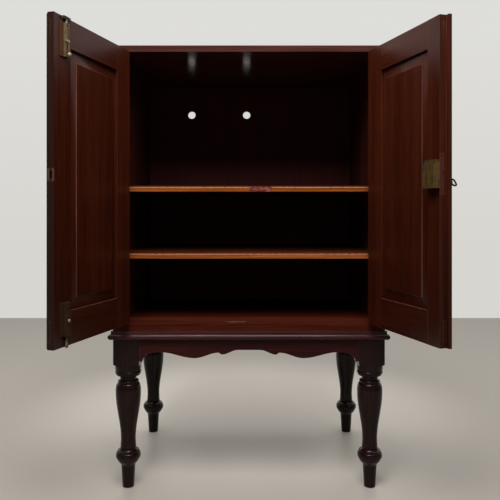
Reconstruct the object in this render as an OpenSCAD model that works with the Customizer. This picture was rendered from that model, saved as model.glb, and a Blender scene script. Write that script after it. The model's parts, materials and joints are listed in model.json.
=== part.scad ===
// Record and gramophone cabinet: a two-door mahogany carcass with two shelves, standing on a
// separate stand with turned legs. The doors are drawn swung open.
// Millimetres, +Z up, front towards -Y, origin on the floor under the middle of the carcass.

/* [Carcass] */
// Width over the outer faces of the sides
carcass_w = 610; // [480:1:800]
// Depth from the front edges to the rear edges
carcass_d = 430; // [380:1:520]
// Height of the carcass on its stand
carcass_h = 640; // [600:1:760]
// Thickness of each side
side_t = 16; // [14:0.5:22]
// Thickness of the top board
top_t = 14; // [12:0.5:20]
// Thickness of the bottom board
bottom_t = 16; // [14:0.5:22]
// Wood left outside the lapped corner joints
corner_lap_t = 6; // [4:0.5:9]
// Thickness of the back panel
back_t = 9; // [6:0.5:12]
// Depth of the rebate that takes the back panel
back_rebate = 6; // [4:0.5:8]
// Radius of each cable hole in the back panel
cable_hole_r = 12.5; // [8:0.5:18]
// Distance of the cable holes below the top board
cable_hole_drop = 78; // [50:1:120]
// Sideways place of the left cable hole
cable_hole_left_x = -168; // [-220:1:-60]
// Sideways place of the right cable hole
cable_hole_right_x = -9; // [-40:1:200]

/* [Shelves] */
// Height of the upper shelf's top face above the carcass floor
upper_shelf_rise = 311; // [280:1:340]
// Height of the lower shelf's top face above the carcass floor
lower_shelf_rise = 160; // [100:1:220]
// Thickness of the upper shelf
upper_shelf_t = 14; // [12:0.5:20]
// Thickness of the lower shelf
lower_shelf_t = 16; // [12:0.5:20]
// Space between the closed doors and the shelf fronts
shelf_door_gap = 5; // [3:0.5:12]
// Depth of the housings that hold the shelf ends
housing_depth = 5; // [3:0.5:7]
// Space left round the lock case by the notch in the upper shelf
notch_gap = 7; // [3:0.5:12]

/* [Stand] */
// Height of the stand
stand_h = 360; // [320:1:420]
// Height of the square upper step of the stand top
step_h = 7; // [4:0.5:12]
// How far that step stands out past the carcass
step_reach = 4; // [2:0.5:8]
// Height of the half-round bead under the step
bead_h = 13; // [9:0.5:18]
// How far the bead stands out past the carcass
bead_reach = 10; // [7:0.5:16]
// Thickness of the front apron and of the rails
rail_t = 20; // [16:0.5:26]
// How far the apron and rails sit back from the leg faces
rail_setback = 3; // [1:0.5:6]
// Depth of the plain side and rear rails
rail_h = 43; // [38:1:54]
// Length of the rail tenons
rail_tenon_l = 22; // [15:0.5:26]
// Thickness of the rail tenons
rail_tenon_t = 8; // [6:0.5:10]
// Side of the triangular glue blocks
glue_block_w = 24; // [16:1:30]

/* [Front apron] */
// Depth of the apron at its middle
apron_middle_h = 24; // [20:1:34]
// Half width of the flat at the middle
apron_flat_x = 25; // [10:1:34]
// Sideways place of the low point of the middle ogee
apron_ogee_x = 61.5; // [50:0.5:64]
// Depth of the apron at that low point
apron_ogee_h = 34.5; // [30:0.5:40]
// Width of the nick between the ogee and the lobe
apron_nick_w = 6.5; // [4:0.5:10]
// Depth of the apron at the nick
apron_nick_h = 30; // [26:0.5:34]
// Sideways place of the middle of each lobe
apron_lobe_x = 122.5; // [100:0.5:140]
// Depth of the apron at the lobe
apron_lobe_h = 42.5; // [36:0.5:50]
// Sideways place where the lobe ends
apron_lobe_end_x = 200; // [170:1:205]
// Depth of the apron between lobe and bracket
apron_bracket_h = 29; // [24:0.5:34]
// Width of the quarter-round bracket
bracket_w = 32; // [20:1:38]
// Depth of the bracket's tip
bracket_tip_h = 50; // [44:0.5:56]
// Width of the bracket's flat tip beside the leg
bracket_flat_w = 7; // [4:0.5:12]

/* [Turned legs] */
// Width of the square block on top of each leg
leg_block_w = 58; // [50:1:70]
// Height of that block
leg_block_h = 57; // [54:1:70]
// Height of the turned shoulder cut into the block's corners
block_shoulder_h = 9; // [5:0.5:12]
// Radius of the foot on the floor
foot_r = 13; // [9:0.5:18]
// Radius of the leg under its ring
ankle_r = 15.8; // [12:0.1:20]
// Height of the straight tapered foot
ankle_z = 48; // [36:0.5:56]
// Radius of the ring's edges
ring_edge_r = 25; // [20:0.5:28]
// Amount that the ring's bead swells past its edges
ring_swell = 3.2; // [2:0.1:5]
// Height of the lower edge of the ring
ring_z = 65; // [60:0.5:72]
// Height of the ring
ring_h = 15; // [10:0.5:18]
// Height of the small step on the ring
ring_step_h = 3.5; // [2:0.5:5]
// Radius of the waist above the ring
waist_r = 16.7; // [13:0.1:20]
// Height of the waist above the floor
waist_z = 108; // [100:1:118]
// Greatest radius of the vase
vase_r = 28.7; // [24:0.1:34]
// Distance of that greatest radius below the block
vase_drop = 65; // [56:1:76]
// Distance of the vase's upper end below the block
shoulder_drop = 42.5; // [40:0.5:48]
// Radius of the vase's upper end and of the small ring on it
shoulder_r = 22.5; // [20:0.5:25]
// Height of the small ring on the vase
small_ring_h = 3; // [2:0.5:5]
// Radius of the neck
neck_r = 18.2; // [14:0.1:20]
// Distance of the collar's lower edge below the block
collar_drop = 30.5; // [26:0.5:34]
// Height of the collar's rounded lower edge
collar_curve_h = 13.5; // [8:0.5:18]

/* [Doors] */
// Thickness of the doors
door_t = 20; // [19:0.5:26]
// Gap above and below the doors
door_gap = 2; // [1.5:0.1:4]
// Gap between the hinge edges and the sides
hinge_gap = 1; // [0.8:0.1:2]
// Gap between the two closed doors
meet_gap = 1.5; // [1:0.1:2.5]
// Lap of the rebated meeting stiles
lap_w = 8; // [6:0.5:10]
// Thickness of the left door's rebated part that the right door's lip covers
rebate_t = 7; // [6:0.5:7]
// Gap between the right door's lip and the left door
lip_gap = 0.5; // [0.4:0.1:1]
// Width of the hinge stiles
hinge_stile_w = 57.5; // [50:0.5:70]
// Width of the closing stiles seen from outside
closing_stile_w = 48; // [46:0.5:60]
// Width of the top rails
top_rail_w = 54; // [44:0.5:70]
// Width of the bottom rails
bottom_rail_w = 64; // [50:0.5:80]
// Thickness of the panel grooves and of the tenons
groove_t = 6; // [5:0.5:6]
// Depth of the panel grooves
groove_depth = 9; // [7:0.5:11]
// Room left for the panel to swell in its grooves
panel_room = 1.5; // [0.5:0.1:3]
// Side clearance of the panel's edge in its groove
panel_gap = 0.1; // [0.05:0.05:0.3]
// Width of the panel's bevel
bevel_w = 22; // [14:0.5:30]
// Height of the shoulder round the panel's field
field_step = 1.5; // [0.5:0.1:2.5]
// Distance of the panel's field below the frame's face
field_drop = 1; // [0.5:0.1:3]
// Length of the tenons in the hinge stiles
blind_tenon_l = 35; // [20:1:44]
// Distance of the tenons from the door's ends
tenon_end_margin = 12; // [8:0.5:16]
// Distance of the tenons from the rails' inner edges
tenon_inner_margin = 13; // [12:0.5:16]
// Angle that the left door is drawn open
left_open = 106; // [0:1:170]
// Angle that the right door is drawn open
right_open = 107; // [0:1:170]

/* [Hinges] */
// Radius of the hinge knuckles
knuckle_r = 4; // [3:0.1:5]
// Gap between the knuckles and the wood in front of which they stand
knuckle_gap = 0.2; // [0.1:0.05:0.5]
// Length of each hinge
hinge_l = 50; // [40:1:70]
// Width of each hinge leaf from the pin's axis
leaf_w = 20; // [16:0.5:22]
// Thickness of each hinge leaf
leaf_t = 1.6; // [1.2:0.1:2.4]
// Radius of the hinge pins
pin_r = 1.8; // [1.2:0.1:2.2]
// Radial clearance of the pins
pin_play = 0.05; // [0.02:0.01:0.08]
// End gap between knuckles
knuckle_end_gap = 0.2; // [0.1:0.05:0.4]
// Distance of the hinges from the door's ends
hinge_inset = 62; // [50:1:120]

/* [Screws] */
// Radius of the screw shanks
screw_r = 1.5; // [1:0.1:1.5]
// Radius of the small screws' shanks
small_screw_r = 1; // [0.8:0.1:1.1]
// Length of the hinge screws
hinge_screw_l = 12; // [8:0.5:13]
// Length of the screws in the back panel
back_screw_l = 24; // [16:0.5:30]
// Length of the screws that hold the door bolts
case_screw_l = 8; // [6:0.5:8.5]
// Length of the small screws
small_screw_l = 10; // [7:0.5:11]

/* [Door bolts] */
// Width of the bolts' base plates
bolt_plate_w = 26; // [24:0.5:32]
// Thickness of the base plates
bolt_plate_t = 1.6; // [1.2:0.1:2.4]
// Length of the base plates and of the housings on them
bolt_case_l = 62; // [56:1:76]
// Width of the housings that the rods slide in
bolt_case_w = 14.5; // [12:0.5:16]
// Distance of the base plates from the outside edge of the closing stile
bolt_case_margin = 10.5; // [8:0.5:14]
// Distance from the rods' axes to the plates' hinge-side edge
bolt_rod_offset = 8.5; // [8:0.5:10]
// Radius of the upper rod
top_rod_r = 2.2; // [1.8:0.1:3]
// Radius of the lower rod
bottom_rod_r = 3; // [2:0.1:3.2]
// Radial clearance of the rods
rod_play = 0.08; // [0.03:0.01:0.1]
// Thinnest wall of the housings over the rods
bolt_wall = 0.4; // [0.3:0.1:1]
// Distance of the upper housing from the door's top
top_case_inset = 12; // [10:0.5:20]
// Distance of the lower housing from the door's bottom
bottom_case_inset = 20; // [14:0.5:24]
// Distance of the upper knob from the housing's upper end, drawn back
top_knob_back = 58; // [40:0.5:58]
// Distance of the lower knob from the housing's lower end, drawn back
bottom_knob_back = 28; // [20:0.5:36]
// How far the rods stand past the door's edge, drawn back
rod_rest = 1.2; // [0.5:0.1:1.3]
// Travel of the bolts into their sockets
bolt_travel = 9; // [6:0.5:10]
// Length of the upper slot past the knob's travel
top_slot_spare = 10.5; // [0:0.5:12]
// Radius of the upper knob
top_knob_r = 4.2; // [3:0.1:5]
// Distance of the upper knob's head from the face of its housing
top_knob_gap = 2.4; // [0.4:0.1:4]
// Distance of the lower knob's head from the face of its housing
bottom_knob_gap = 0.4; // [0.2:0.1:4]
// Radius of the lower knob
bottom_knob_r = 3.2; // [2.6:0.1:5]
// Radius of the knobs' stems
knob_stem_r = 1.5; // [1.2:0.1:1.7]
// Radius of the round hole over each rod
sight_hole_r = 1.6; // [1:0.1:1.8]
// Distance of that hole from the upper end of the upper housing
top_sight_drop = 5; // [4:0.5:12]
// Distance of that hole from the upper end of the lower housing
bottom_sight_drop = 12; // [6:0.5:16]
// Height of the rod guide at the door's top
guide_h = 5; // [4.5:0.1:8]
// Width of the rod guide
guide_w = 22; // [20:0.5:26]
// Height of the band across the upper housing
band_h = 4; // [2:0.5:6]
// How far that band stands out from the housing
band_proud = 1; // [0.5:0.1:2]
// Radial clearance of the rods in the socket holes
socket_play = 0.8; // [0.4:0.1:1.5]
// Length of the brass socket plate in the carcass floor
socket_plate_l = 40; // [26:1:50]
// Width of the socket plate
socket_plate_w = 13; // [11:0.5:16]
// Thickness of the brass plates that are let into the wood
plate_t = 1.5; // [1:0.1:2]

/* [Lock] */
// Width of the lock case
lock_w = 35.5; // [32:0.5:38]
// Height of the lock case
lock_h = 52; // [46:1:60]
// How far the lock case stands proud of the door
lock_proud = 13.5; // [10:0.5:16]
// Depth of the part of the lock let into the door
lock_sunk = 9.5; // [8.5:0.5:10]
// Distance of that part inside the case's outline
lock_inset = 0.5; // [0.3:0.1:0.8]
// Radius of the case's rounded corner
lock_corner_r = 9; // [4:0.5:12]
// Wall thickness of the lock case
lock_wall = 1.5; // [1:0.1:1.6]
// Length of the selvedge above and below the lock case
selvedge_reach = 12; // [9:0.5:16]
// Height of the lock bolt above the door's bottom
lock_rise = 314.5; // [290:0.5:330]
// Height of the lock bolt above the bottom of the lock case
lock_bolt_rise = 23.5; // [23.5:0.5:26]
// Height of the lock bolt
lock_bolt_h = 12; // [11:0.5:13]
// Thickness of the lock bolt
lock_bolt_t = 3.4; // [2.5:0.1:4]
// Clearance round the lock bolt
lock_bolt_play = 0.2; // [0.1:0.05:0.4]
// Throw of the lock bolt
lock_throw = 8; // [6:0.5:8.5]
// Distance of the drawn-back bolt inside the door's edge
lock_bolt_rest = 1; // [0.5:0.1:2]
// Distance of the key's axis below the bolt
key_drop = 12; // [11.5:0.1:12.2]
// Distance of the key's axis from the door's edge
key_inset = 16.5; // [16:0.1:17]
// Radius of the key's barrel
key_r = 2.75; // [2.2:0.05:3]
// Reach of the key's bit from its axis
bit_reach = 8.8; // [8.2:0.1:9]
// Thickness of the key's bit
bit_t = 2.6; // [2:0.1:3]
// Radius of the drill pin that the key turns on
drill_pin_r = 1.25; // [1:0.05:1.5]
// Radial clearance of the key on its pin
key_play = 0.05; // [0.02:0.01:0.08]
// Distance from the door's face to the key's bow
key_stand_off = 15; // [8:0.5:18]
// Angle that the key is drawn turned, from its bit pointing down
key_rest_turn = 40; // [0:1:60]
// Radius of the bends of the oval bow to the middle of its wire
bow_r = 4.4; // [2.6:0.1:5]
// Length of the bow's straight sides
bow_straight_l = 7; // [2:0.5:10]
// Radius of the bow's wire
bow_wire_r = 1.3; // [1:0.1:2]
// Clearance of the key in the keyhole
keyhole_play = 0.5; // [0.3:0.1:0.8]
// Width of the brass lining round the keyhole
lining_w = 1.6; // [1:0.1:2.5]
// Height of the keep plate on the left door
keep_h = 23.5; // [23:0.5:30]
// Height of the slot in the keep plate
keep_slot_h = 13.5; // [13.5:0.1:14]
// Width of the slot in the keep plate
keep_slot_w = 5; // [4.4:0.1:5.6]

/* [Hidden] */
$fn = 48;
curve_steps = 6;
cut = 1;

// Stand
stand_top_t = step_h + bead_h;
frame_top_z = stand_h - stand_top_t;
block_z = frame_top_z - leg_block_h;
leg_x = (carcass_w - leg_block_w) / 2;
leg_y = (carcass_d - leg_block_w) / 2;
rail_span_x = carcass_w - 2 * leg_block_w;
rail_span_y = carcass_d - 2 * leg_block_w;
rail_centre_x = carcass_w / 2 - rail_setback - rail_t / 2;
rail_centre_y = carcass_d / 2 - rail_setback - rail_t / 2;
rail_tenon_margin = 5;
rail_tenon_h = rail_h - 2 * rail_tenon_margin;
block_corner_r = leg_block_w * 0.72;
ring_step_in = 0.8;
cove_spread = 0.7;
cove_h = 14;
small_ring_out = 0.6;
neck_slope_h = 2;
collar_lip = 0.8;
collar_slope_h = 0.5;
glue_block_l = 2 * glue_block_w;

// Carcass
front_y = -carcass_d / 2;
rear_y = carcass_d / 2;
floor_z = stand_h + bottom_t;
ceiling_z = stand_h + carcass_h - top_t;
opening_w = carcass_w - 2 * side_t;
board_l = carcass_w - 2 * corner_lap_t;
back_y = rear_y - back_t;
shelf_y = front_y + door_t + shelf_door_gap;
shelf_l = opening_w + 2 * housing_depth;
upper_shelf_z = floor_z + upper_shelf_rise;
lower_shelf_z = floor_z + lower_shelf_rise;
cable_hole_z = ceiling_z - cable_hole_drop;
back_screw_margin = 3.5;
back_screw_end = 60;
back_screw_over_middle = 30;

// Doors, in a frame with its origin on the hinge axis at the door's bottom: +X runs to the
// closing edge, +Y to the inside
hinge_x = opening_w / 2 - hinge_gap / 2;
face_v = knuckle_r + knuckle_gap;
hinge_y = front_y - face_v;
inner_v = face_v + door_t;
middle_v = face_v + door_t / 2;
door_z = floor_z + door_gap;
door_h = ceiling_z - floor_z - 2 * door_gap;
edge_u = hinge_gap / 2;
stile_u = edge_u + hinge_stile_w;
outer_end_u = hinge_x - meet_gap / 2;
tongue_end_u = outer_end_u + lap_w;
main_end_u = outer_end_u - lap_w;
closing_u = outer_end_u - closing_stile_w;
lip_t = rebate_t - lip_gap;
upper_rail_z = door_h - top_rail_w;
tongue_half_t = groove_t / 2 - panel_gap;
field_half_t = door_t / 2 - field_drop;
panel_reach = groove_depth - panel_room;

// Hinges
knuckle_l = hinge_l / 5;
hinge_z = [hinge_inset, door_h - hinge_inset - hinge_l];
leaf_screw_v = (face_v + leaf_w) / 2;
leaf_screw_end = 8;
pin_head_h = 2;
pin_head_r = 0.8 * knuckle_r;
knuckle_cut_r = knuckle_r + 0.75 * knuckle_gap;

// Screws
head_ratio = 2;

// Door bolts
bolt_plate_u = outer_end_u - bolt_case_margin - bolt_plate_w;
rod_u = bolt_plate_u + bolt_rod_offset;
bolt_case_u = rod_u - bolt_case_w / 2;
case_screw_u = (bolt_case_u + bolt_case_w + bolt_plate_u + bolt_plate_w) / 2;
case_screw_end = 6;
socket_spare = 1.5;
socket_depth = bolt_travel + rod_rest - door_gap + socket_spare;
top_case_z = door_h - top_case_inset - bolt_case_l;
top_knob_z = door_h - top_case_inset - top_knob_back;
bottom_knob_z = bottom_case_inset + bottom_knob_back;
rod_tail = 6;
band_under_middle = 3;
band_z = top_case_z + bolt_case_l / 2 - band_under_middle;
guide_screw_margin = 3.5;
guide_screw_u = rod_u + guide_w / 2 - guide_screw_margin;
socket_screw_margin = 5;
socket_screw_x = socket_plate_l / 2 - socket_screw_margin;

// Proudness of the housing over a rod of radius r, and the depth of that rod's axis
function case_t(r) = 2 * (r + rod_play + bolt_wall);
function rod_v(r) = inner_v + case_t(r) / 2;
guide_screw_l = case_t(top_rod_r) + small_screw_l;

// Lock
lock_u = main_end_u - lock_w;
lock_z = lock_rise - lock_bolt_rise;
key_u = main_end_u - key_inset;
key_z = lock_rise - key_drop;
mortise_wall = 0.5;
sunk_u = closing_u + groove_depth + mortise_wall;
sunk_v = inner_v - lock_sunk;
bolt_v = sunk_v + lock_wall + lock_bolt_play;
bolt_tail_gap = 0.5;
bolt_tail_u = sunk_u + lock_wall + bolt_tail_gap;
stump_r = 1.6;
stump_rise = 1.5;
stump_play = 0.2;
stump_wall = 1.8;
stump_u = bolt_tail_u + stump_wall + lock_throw + stump_r + stump_play;
notch_back_gap = 3.5;
notch_depth = lock_proud - shelf_door_gap + notch_back_gap;
notch_x = hinge_x - main_end_u - notch_gap;
notch_w = lock_w + 2 * notch_gap;
key_end_past = 0.6;
key_end_v = bolt_v + lock_bolt_t + key_end_past;
key_bore_l = 11;
key_pin_room = 1;
key_collar_h = 1.5;
key_collar_out = 1;
key_collar_step = 3;
talon_play = 0.4;
talon_depth = bit_reach + lock_bolt_h / 2 - key_drop + talon_play;
talon_half_w = sqrt(pow(bit_reach + talon_play, 2) - pow(key_drop - lock_bolt_h / 2, 2)) - lock_throw / 10;
talon_u = key_u - lock_throw * (180 + key_rest_turn) / 360;
selvedge_screw_end = selvedge_reach / 2;
keep_screw_rise = (keep_h + keep_slot_h) / 4;
keep_slot_room = 1;

// A stretch of outline that swings from one radius to another like a flat S
function ogee(r0, z0, r1, z1) = [for (i = [1:curve_steps])
  let (t = i / curve_steps) [r0 + (r1 - r0) * (1 - cos(180 * t)) / 2, z0 + (z1 - z0) * t]];
// A stretch of outline that sinks from one level to another like a flat S
function dip(x0, z0, x1, z1) = [for (i = [1:curve_steps])
  let (t = i / curve_steps) [x0 + (x1 - x0) * t, z0 + (z1 - z0) * (1 - cos(180 * t)) / 2]];
// A quarter round that leaves square to the axis and arrives along it
function out_then_up(r0, z0, r1, z1) = [for (i = [1:curve_steps])
  let (a = 90 * i / curve_steps) [r0 + (r1 - r0) * sin(a), z0 + (z1 - z0) * (1 - cos(a))]];
// A quarter round that leaves along the axis and arrives square to it
function up_then_out(r0, z0, r1, z1) = [for (i = [1:curve_steps])
  let (a = 90 * i / curve_steps) [r0 + (r1 - r0) * (1 - cos(a)), z0 + (z1 - z0) * sin(a)]];
// A half-round bead
function bead(r, swell, z0, z1) = [for (i = [1:curve_steps])
  let (a = 180 * i / curve_steps) [r + swell * sin(a), z0 + (z1 - z0) * (1 - cos(a)) / 2]];
// The same outline in reverse on the other side of the middle
function mirrored(points) = [for (i = [len(points) - 1:-1:0]) [-points[i][0], points[i][1]]];

leg_outline = concat(
  [[0, 0], [foot_r, 0], [ankle_r, ankle_z]],
  ogee(ankle_r, ankle_z, ring_edge_r, ring_z),
  bead(ring_edge_r, ring_swell, ring_z, ring_z + ring_h),
  [[ring_edge_r - ring_step_in, ring_z + ring_h],
   [ring_edge_r - ring_step_in, ring_z + ring_h + ring_step_h]],
  out_then_up(ring_edge_r - 2 * ring_step_in, ring_z + ring_h + ring_step_h,
              waist_r + cove_spread, waist_z - cove_h),
  ogee(waist_r + cove_spread, waist_z - cove_h, waist_r, waist_z),
  ogee(waist_r, waist_z, vase_r, block_z - vase_drop),
  up_then_out(vase_r, block_z - vase_drop, shoulder_r, block_z - shoulder_drop),
  [[shoulder_r + small_ring_out, block_z - shoulder_drop],
   [shoulder_r + small_ring_out, block_z - shoulder_drop + small_ring_h],
   [neck_r, block_z - shoulder_drop + small_ring_h + neck_slope_h],
   [neck_r, block_z - collar_drop - collar_slope_h],
   [neck_r + collar_lip, block_z - collar_drop]],
  out_then_up(neck_r + collar_lip, block_z - collar_drop,
              leg_block_w / 2 - collar_lip, block_z - collar_drop + collar_curve_h),
  [[leg_block_w / 2, block_z], [0, block_z]]
);

// Lower edge of one half of the apron, from its middle to the leg
apron_edge = concat(
  [[apron_flat_x, -apron_middle_h]],
  dip(apron_flat_x, -apron_middle_h, apron_ogee_x, -apron_ogee_h),
  [[apron_ogee_x + apron_nick_w, -apron_nick_h]],
  dip(apron_ogee_x + apron_nick_w, -apron_nick_h, apron_lobe_x, -apron_lobe_h),
  dip(apron_lobe_x, -apron_lobe_h, apron_lobe_end_x, -apron_bracket_h),
  [[rail_span_x / 2 - bracket_flat_w - bracket_w, -apron_bracket_h]],
  [for (i = [1:curve_steps]) let (a = 90 * i / curve_steps)
    [rail_span_x / 2 - bracket_flat_w - bracket_w * (1 - sin(a)),
     -apron_bracket_h - (bracket_tip_h - apron_bracket_h) * (1 - cos(a))]],
  [[rail_span_x / 2, -bracket_tip_h]]
);

// Half thickness of the fielded panel against the distance from its edge
function panel_side(reach) = [[0, tongue_half_t], [reach, tongue_half_t],
  [reach + bevel_w, field_half_t - field_step], [reach + bevel_w, field_half_t]];

// Section of a fielded panel of length l whose edges sit reach0 and reach1 deep in their grooves
module panel_section(l, reach0, reach1) {
  rising = panel_side(reach0);
  falling = [for (i = [3:-1:0]) [l - panel_side(reach1)[i][0], panel_side(reach1)[i][1]]];
  upper = concat(rising, falling);
  lower = [for (i = [len(upper) - 1:-1:0]) [upper[i][0], -upper[i][1]]];
  polygon(concat(upper, lower));
}

// A box given by its low and high corners
module span_box(low, high) {
  translate(low) cube(high - low);
}

// The children, drawn in the (u, z) plane, stretched from depth v0 to v1
module through(v0, v1) {
  translate([0, v1, 0]) rotate([90, 0, 0]) linear_extrude(height = v1 - v0) children();
}

// A countersunk screw whose head faces +Z at the origin
module screw(l, r = screw_r) {
  head_h = r * (head_ratio - 1);
  translate([0, 0, -head_h]) cylinder(h = head_h, r1 = r, r2 = r * head_ratio);
  translate([0, 0, -l]) cylinder(h = l - head_h, r = r);
}

module at_left_door() {
  translate([-hinge_x, hinge_y, door_z]) rotate([0, 0, -left_open]) children();
}

module at_right_door() {
  translate([hinge_x, hinge_y, door_z]) rotate([0, 0, right_open]) mirror([1, 0, 0]) children();
}

module at_closed_left() {
  translate([-hinge_x, hinge_y, door_z]) children();
}

module at_closed_right() {
  translate([hinge_x, hinge_y, door_z]) mirror([1, 0, 0]) children();
}

/* Stand */

module leg(sx, sy) {
  color("#3a1a10") translate([sx * leg_x, sy * leg_y, 0]) difference() {
    union() {
      rotate_extrude() polygon(leg_outline);
      intersection() {
        translate([-leg_block_w / 2, -leg_block_w / 2, block_z])
          cube([leg_block_w, leg_block_w, leg_block_h]);
        rotate_extrude() polygon(concat(
          [[0, block_z], [leg_block_w / 2, block_z]],
          out_then_up(leg_block_w / 2, block_z, block_corner_r, block_z + block_shoulder_h),
          [[block_corner_r, frame_top_z + cut], [0, frame_top_z + cut]]));
      }
    }
    translate([-sx * leg_x, -sy * leg_y, 0]) rail_tenons_x(sy);
    translate([-sx * leg_x, -sy * leg_y, 0]) rail_tenons_y(sx);
  }
}

module rail_tenons_x(sy) {
  l = rail_span_x + 2 * rail_tenon_l;
  translate([-l / 2, sy * rail_centre_y - rail_tenon_t / 2,
             frame_top_z - rail_tenon_margin - rail_tenon_h])
    cube([l, rail_tenon_t, rail_tenon_h]);
}

module rail_tenons_y(sx) {
  l = rail_span_y + 2 * rail_tenon_l;
  translate([sx * rail_centre_x - rail_tenon_t / 2, -l / 2,
             frame_top_z - rail_tenon_margin - rail_tenon_h])
    cube([rail_tenon_t, l, rail_tenon_h]);
}

// The ends of a long tenon bar that stick out past the rail
module tenon_ends_x(sy) {
  difference() {
    rail_tenons_x(sy);
    translate([-rail_span_x / 2, sy * rail_centre_y - rail_t, 0])
      cube([rail_span_x, 2 * rail_t, stand_h]);
  }
}

module tenon_ends_y(sx) {
  difference() {
    rail_tenons_y(sx);
    translate([sx * rail_centre_x - rail_t, -rail_span_y / 2, 0])
      cube([2 * rail_t, rail_span_y, stand_h]);
  }
}

module front_apron() {
  color("#4a2114") {
    translate([0, -rail_centre_y + rail_t / 2, frame_top_z]) rotate([90, 0, 0])
      linear_extrude(height = rail_t)
        polygon(concat(apron_edge, [[rail_span_x / 2, 0], [-rail_span_x / 2, 0]], mirrored(apron_edge)));
    tenon_ends_x(-1);
  }
}

module rear_rail() {
  color("#4a2114") {
    translate([-rail_span_x / 2, rail_centre_y - rail_t / 2, frame_top_z - rail_h])
      cube([rail_span_x, rail_t, rail_h]);
    tenon_ends_x(1);
  }
}

module side_rail(sx) {
  color("#4a2114") {
    translate([sx * rail_centre_x - rail_t / 2, -rail_span_y / 2, frame_top_z - rail_h])
      cube([rail_t, rail_span_y, rail_h]);
    tenon_ends_y(sx);
  }
}

// Section of the moulded stand top: a square step over a half-round bead
module moulding_section(half) {
  bead_r = bead_h / 2;
  bead_x = half + bead_reach - bead_r;
  translate([-half - step_reach, bead_h]) square([2 * (half + step_reach), step_h]);
  translate([-bead_x, 0]) square([2 * bead_x, bead_h]);
  for (side = [-1, 1]) translate([side * bead_x, bead_r]) circle(r = bead_r);
}

module stand_top() {
  color("#4a2114") intersection() {
    translate([0, rear_y, frame_top_z]) rotate([90, 0, 0])
      linear_extrude(height = carcass_d + 2 * bead_reach) moulding_section(carcass_w / 2);
    translate([-carcass_w, 0, frame_top_z]) rotate([90, 0, 90])
      linear_extrude(height = 2 * carcass_w) moulding_section(carcass_d / 2);
  }
}

module glue_blocks() {
  color("#6b3a22") {
    for (sx = [-1, 1], sy = [-1, 1])
      translate([sx * rail_span_x / 3, sy * (rail_centre_y - rail_t / 2), frame_top_z])
        mirror([0, sy > 0 ? 1 : 0, 0]) rotate([90, 0, 90]) translate([0, 0, -glue_block_l / 2])
          linear_extrude(height = glue_block_l) polygon([[0, 0], [glue_block_w, 0], [0, -glue_block_w]]);
    for (sx = [-1, 1])
      translate([sx * (rail_centre_x - rail_t / 2), 0, frame_top_z])
        mirror([sx > 0 ? 1 : 0, 0, 0]) rotate([90, 0, 0]) translate([0, 0, -glue_block_l / 2])
          linear_extrude(height = glue_block_l) polygon([[0, 0], [glue_block_w, 0], [0, -glue_block_w]]);
  }
}

/* Carcass */

module top_board() {
  color("#5a2a17") difference() {
    span_box([-board_l / 2, front_y, ceiling_z], [board_l / 2, rear_y, stand_h + carcass_h]);
    back_blank();
    at_closed_left() translate([rod_u, rod_v(top_rod_r), door_h + door_gap - cut])
      cylinder(h = socket_depth + cut, r = top_rod_r + socket_play);
    screw_sites_back() screw(back_screw_l);
  }
}

module bottom_board() {
  color("#5a2a17") difference() {
    span_box([-board_l / 2, front_y, stand_h], [board_l / 2, rear_y, floor_z]);
    back_blank();
    socket_plate_blank(cut);
    at_closed_left() translate([rod_u, rod_v(bottom_rod_r), -door_gap - socket_depth])
      cylinder(h = socket_depth + cut, r = bottom_rod_r + socket_play);
    socket_screw_sites() screw(small_screw_l, small_screw_r);
    screw_sites_back() screw(back_screw_l);
  }
}

module side(sx) {
  inner = opening_w / 2;
  outer = carcass_w / 2;
  color("#5a2a17") difference() {
    mirror([sx < 0 ? 1 : 0, 0, 0])
      span_box([inner, front_y, stand_h], [outer, rear_y, stand_h + carcass_h]);
    span_box([-board_l / 2, front_y - cut, stand_h - cut], [board_l / 2, rear_y + cut, floor_z]);
    span_box([-board_l / 2, front_y - cut, ceiling_z],
             [board_l / 2, rear_y + cut, stand_h + carcass_h + cut]);
    back_blank();
    shelf_blank(upper_shelf_z, upper_shelf_t);
    shelf_blank(lower_shelf_z, lower_shelf_t);
    if (sx < 0) at_closed_left() side_leaf_recesses();
    if (sx > 0) at_closed_right() side_leaf_recesses();
    screw_sites_back() screw(back_screw_l);
  }
}

// The space of the back panel, and the rebates round it
module back_blank() {
  span_box([-opening_w / 2 - back_rebate, back_y, floor_z - back_rebate],
           [opening_w / 2 + back_rebate, rear_y + cut, ceiling_z + back_rebate]);
}

module back_panel() {
  color("#3c1c12") difference() {
    span_box([-opening_w / 2 - back_rebate, back_y, floor_z - back_rebate],
             [opening_w / 2 + back_rebate, rear_y, ceiling_z + back_rebate]);
    for (x = [cable_hole_left_x, cable_hole_right_x])
      translate([x, rear_y + cut, cable_hole_z]) rotate([90, 0, 0])
        cylinder(h = back_t + 2 * cut, r = cable_hole_r);
    screw_sites_back() screw(back_screw_l);
  }
}

// Places of the screws round the back panel, with their heads facing the rear
module screw_sites_back() {
  x = opening_w / 2 + back_rebate - back_screw_margin;
  middle_z = (floor_z + ceiling_z) / 2 + back_screw_over_middle;
  for (sx = [-1, 1], z = [floor_z + back_screw_end, middle_z, ceiling_z - back_screw_end])
    translate([sx * x, rear_y, z]) rotate([-90, 0, 0]) children();
  low_z = floor_z - back_rebate + back_screw_margin;
  high_z = ceiling_z + back_rebate - back_screw_margin;
  for (sx = [-1, 0, 1], z = [low_z, high_z])
    translate([sx * opening_w / 3, rear_y, z]) rotate([-90, 0, 0]) children();
}

module back_screws() {
  color("#8a7a55") screw_sites_back() screw(back_screw_l);
}

module shelf_blank(z, t) {
  span_box([-shelf_l / 2, shelf_y, z - t], [shelf_l / 2, back_y, z]);
}

module upper_shelf() {
  color("#8a4a22") difference() {
    shelf_blank(upper_shelf_z, upper_shelf_t);
    translate([notch_x, shelf_y - cut, upper_shelf_z - upper_shelf_t - cut])
      cube([notch_w, notch_depth + cut, upper_shelf_t + 2 * cut]);
  }
}

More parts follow.
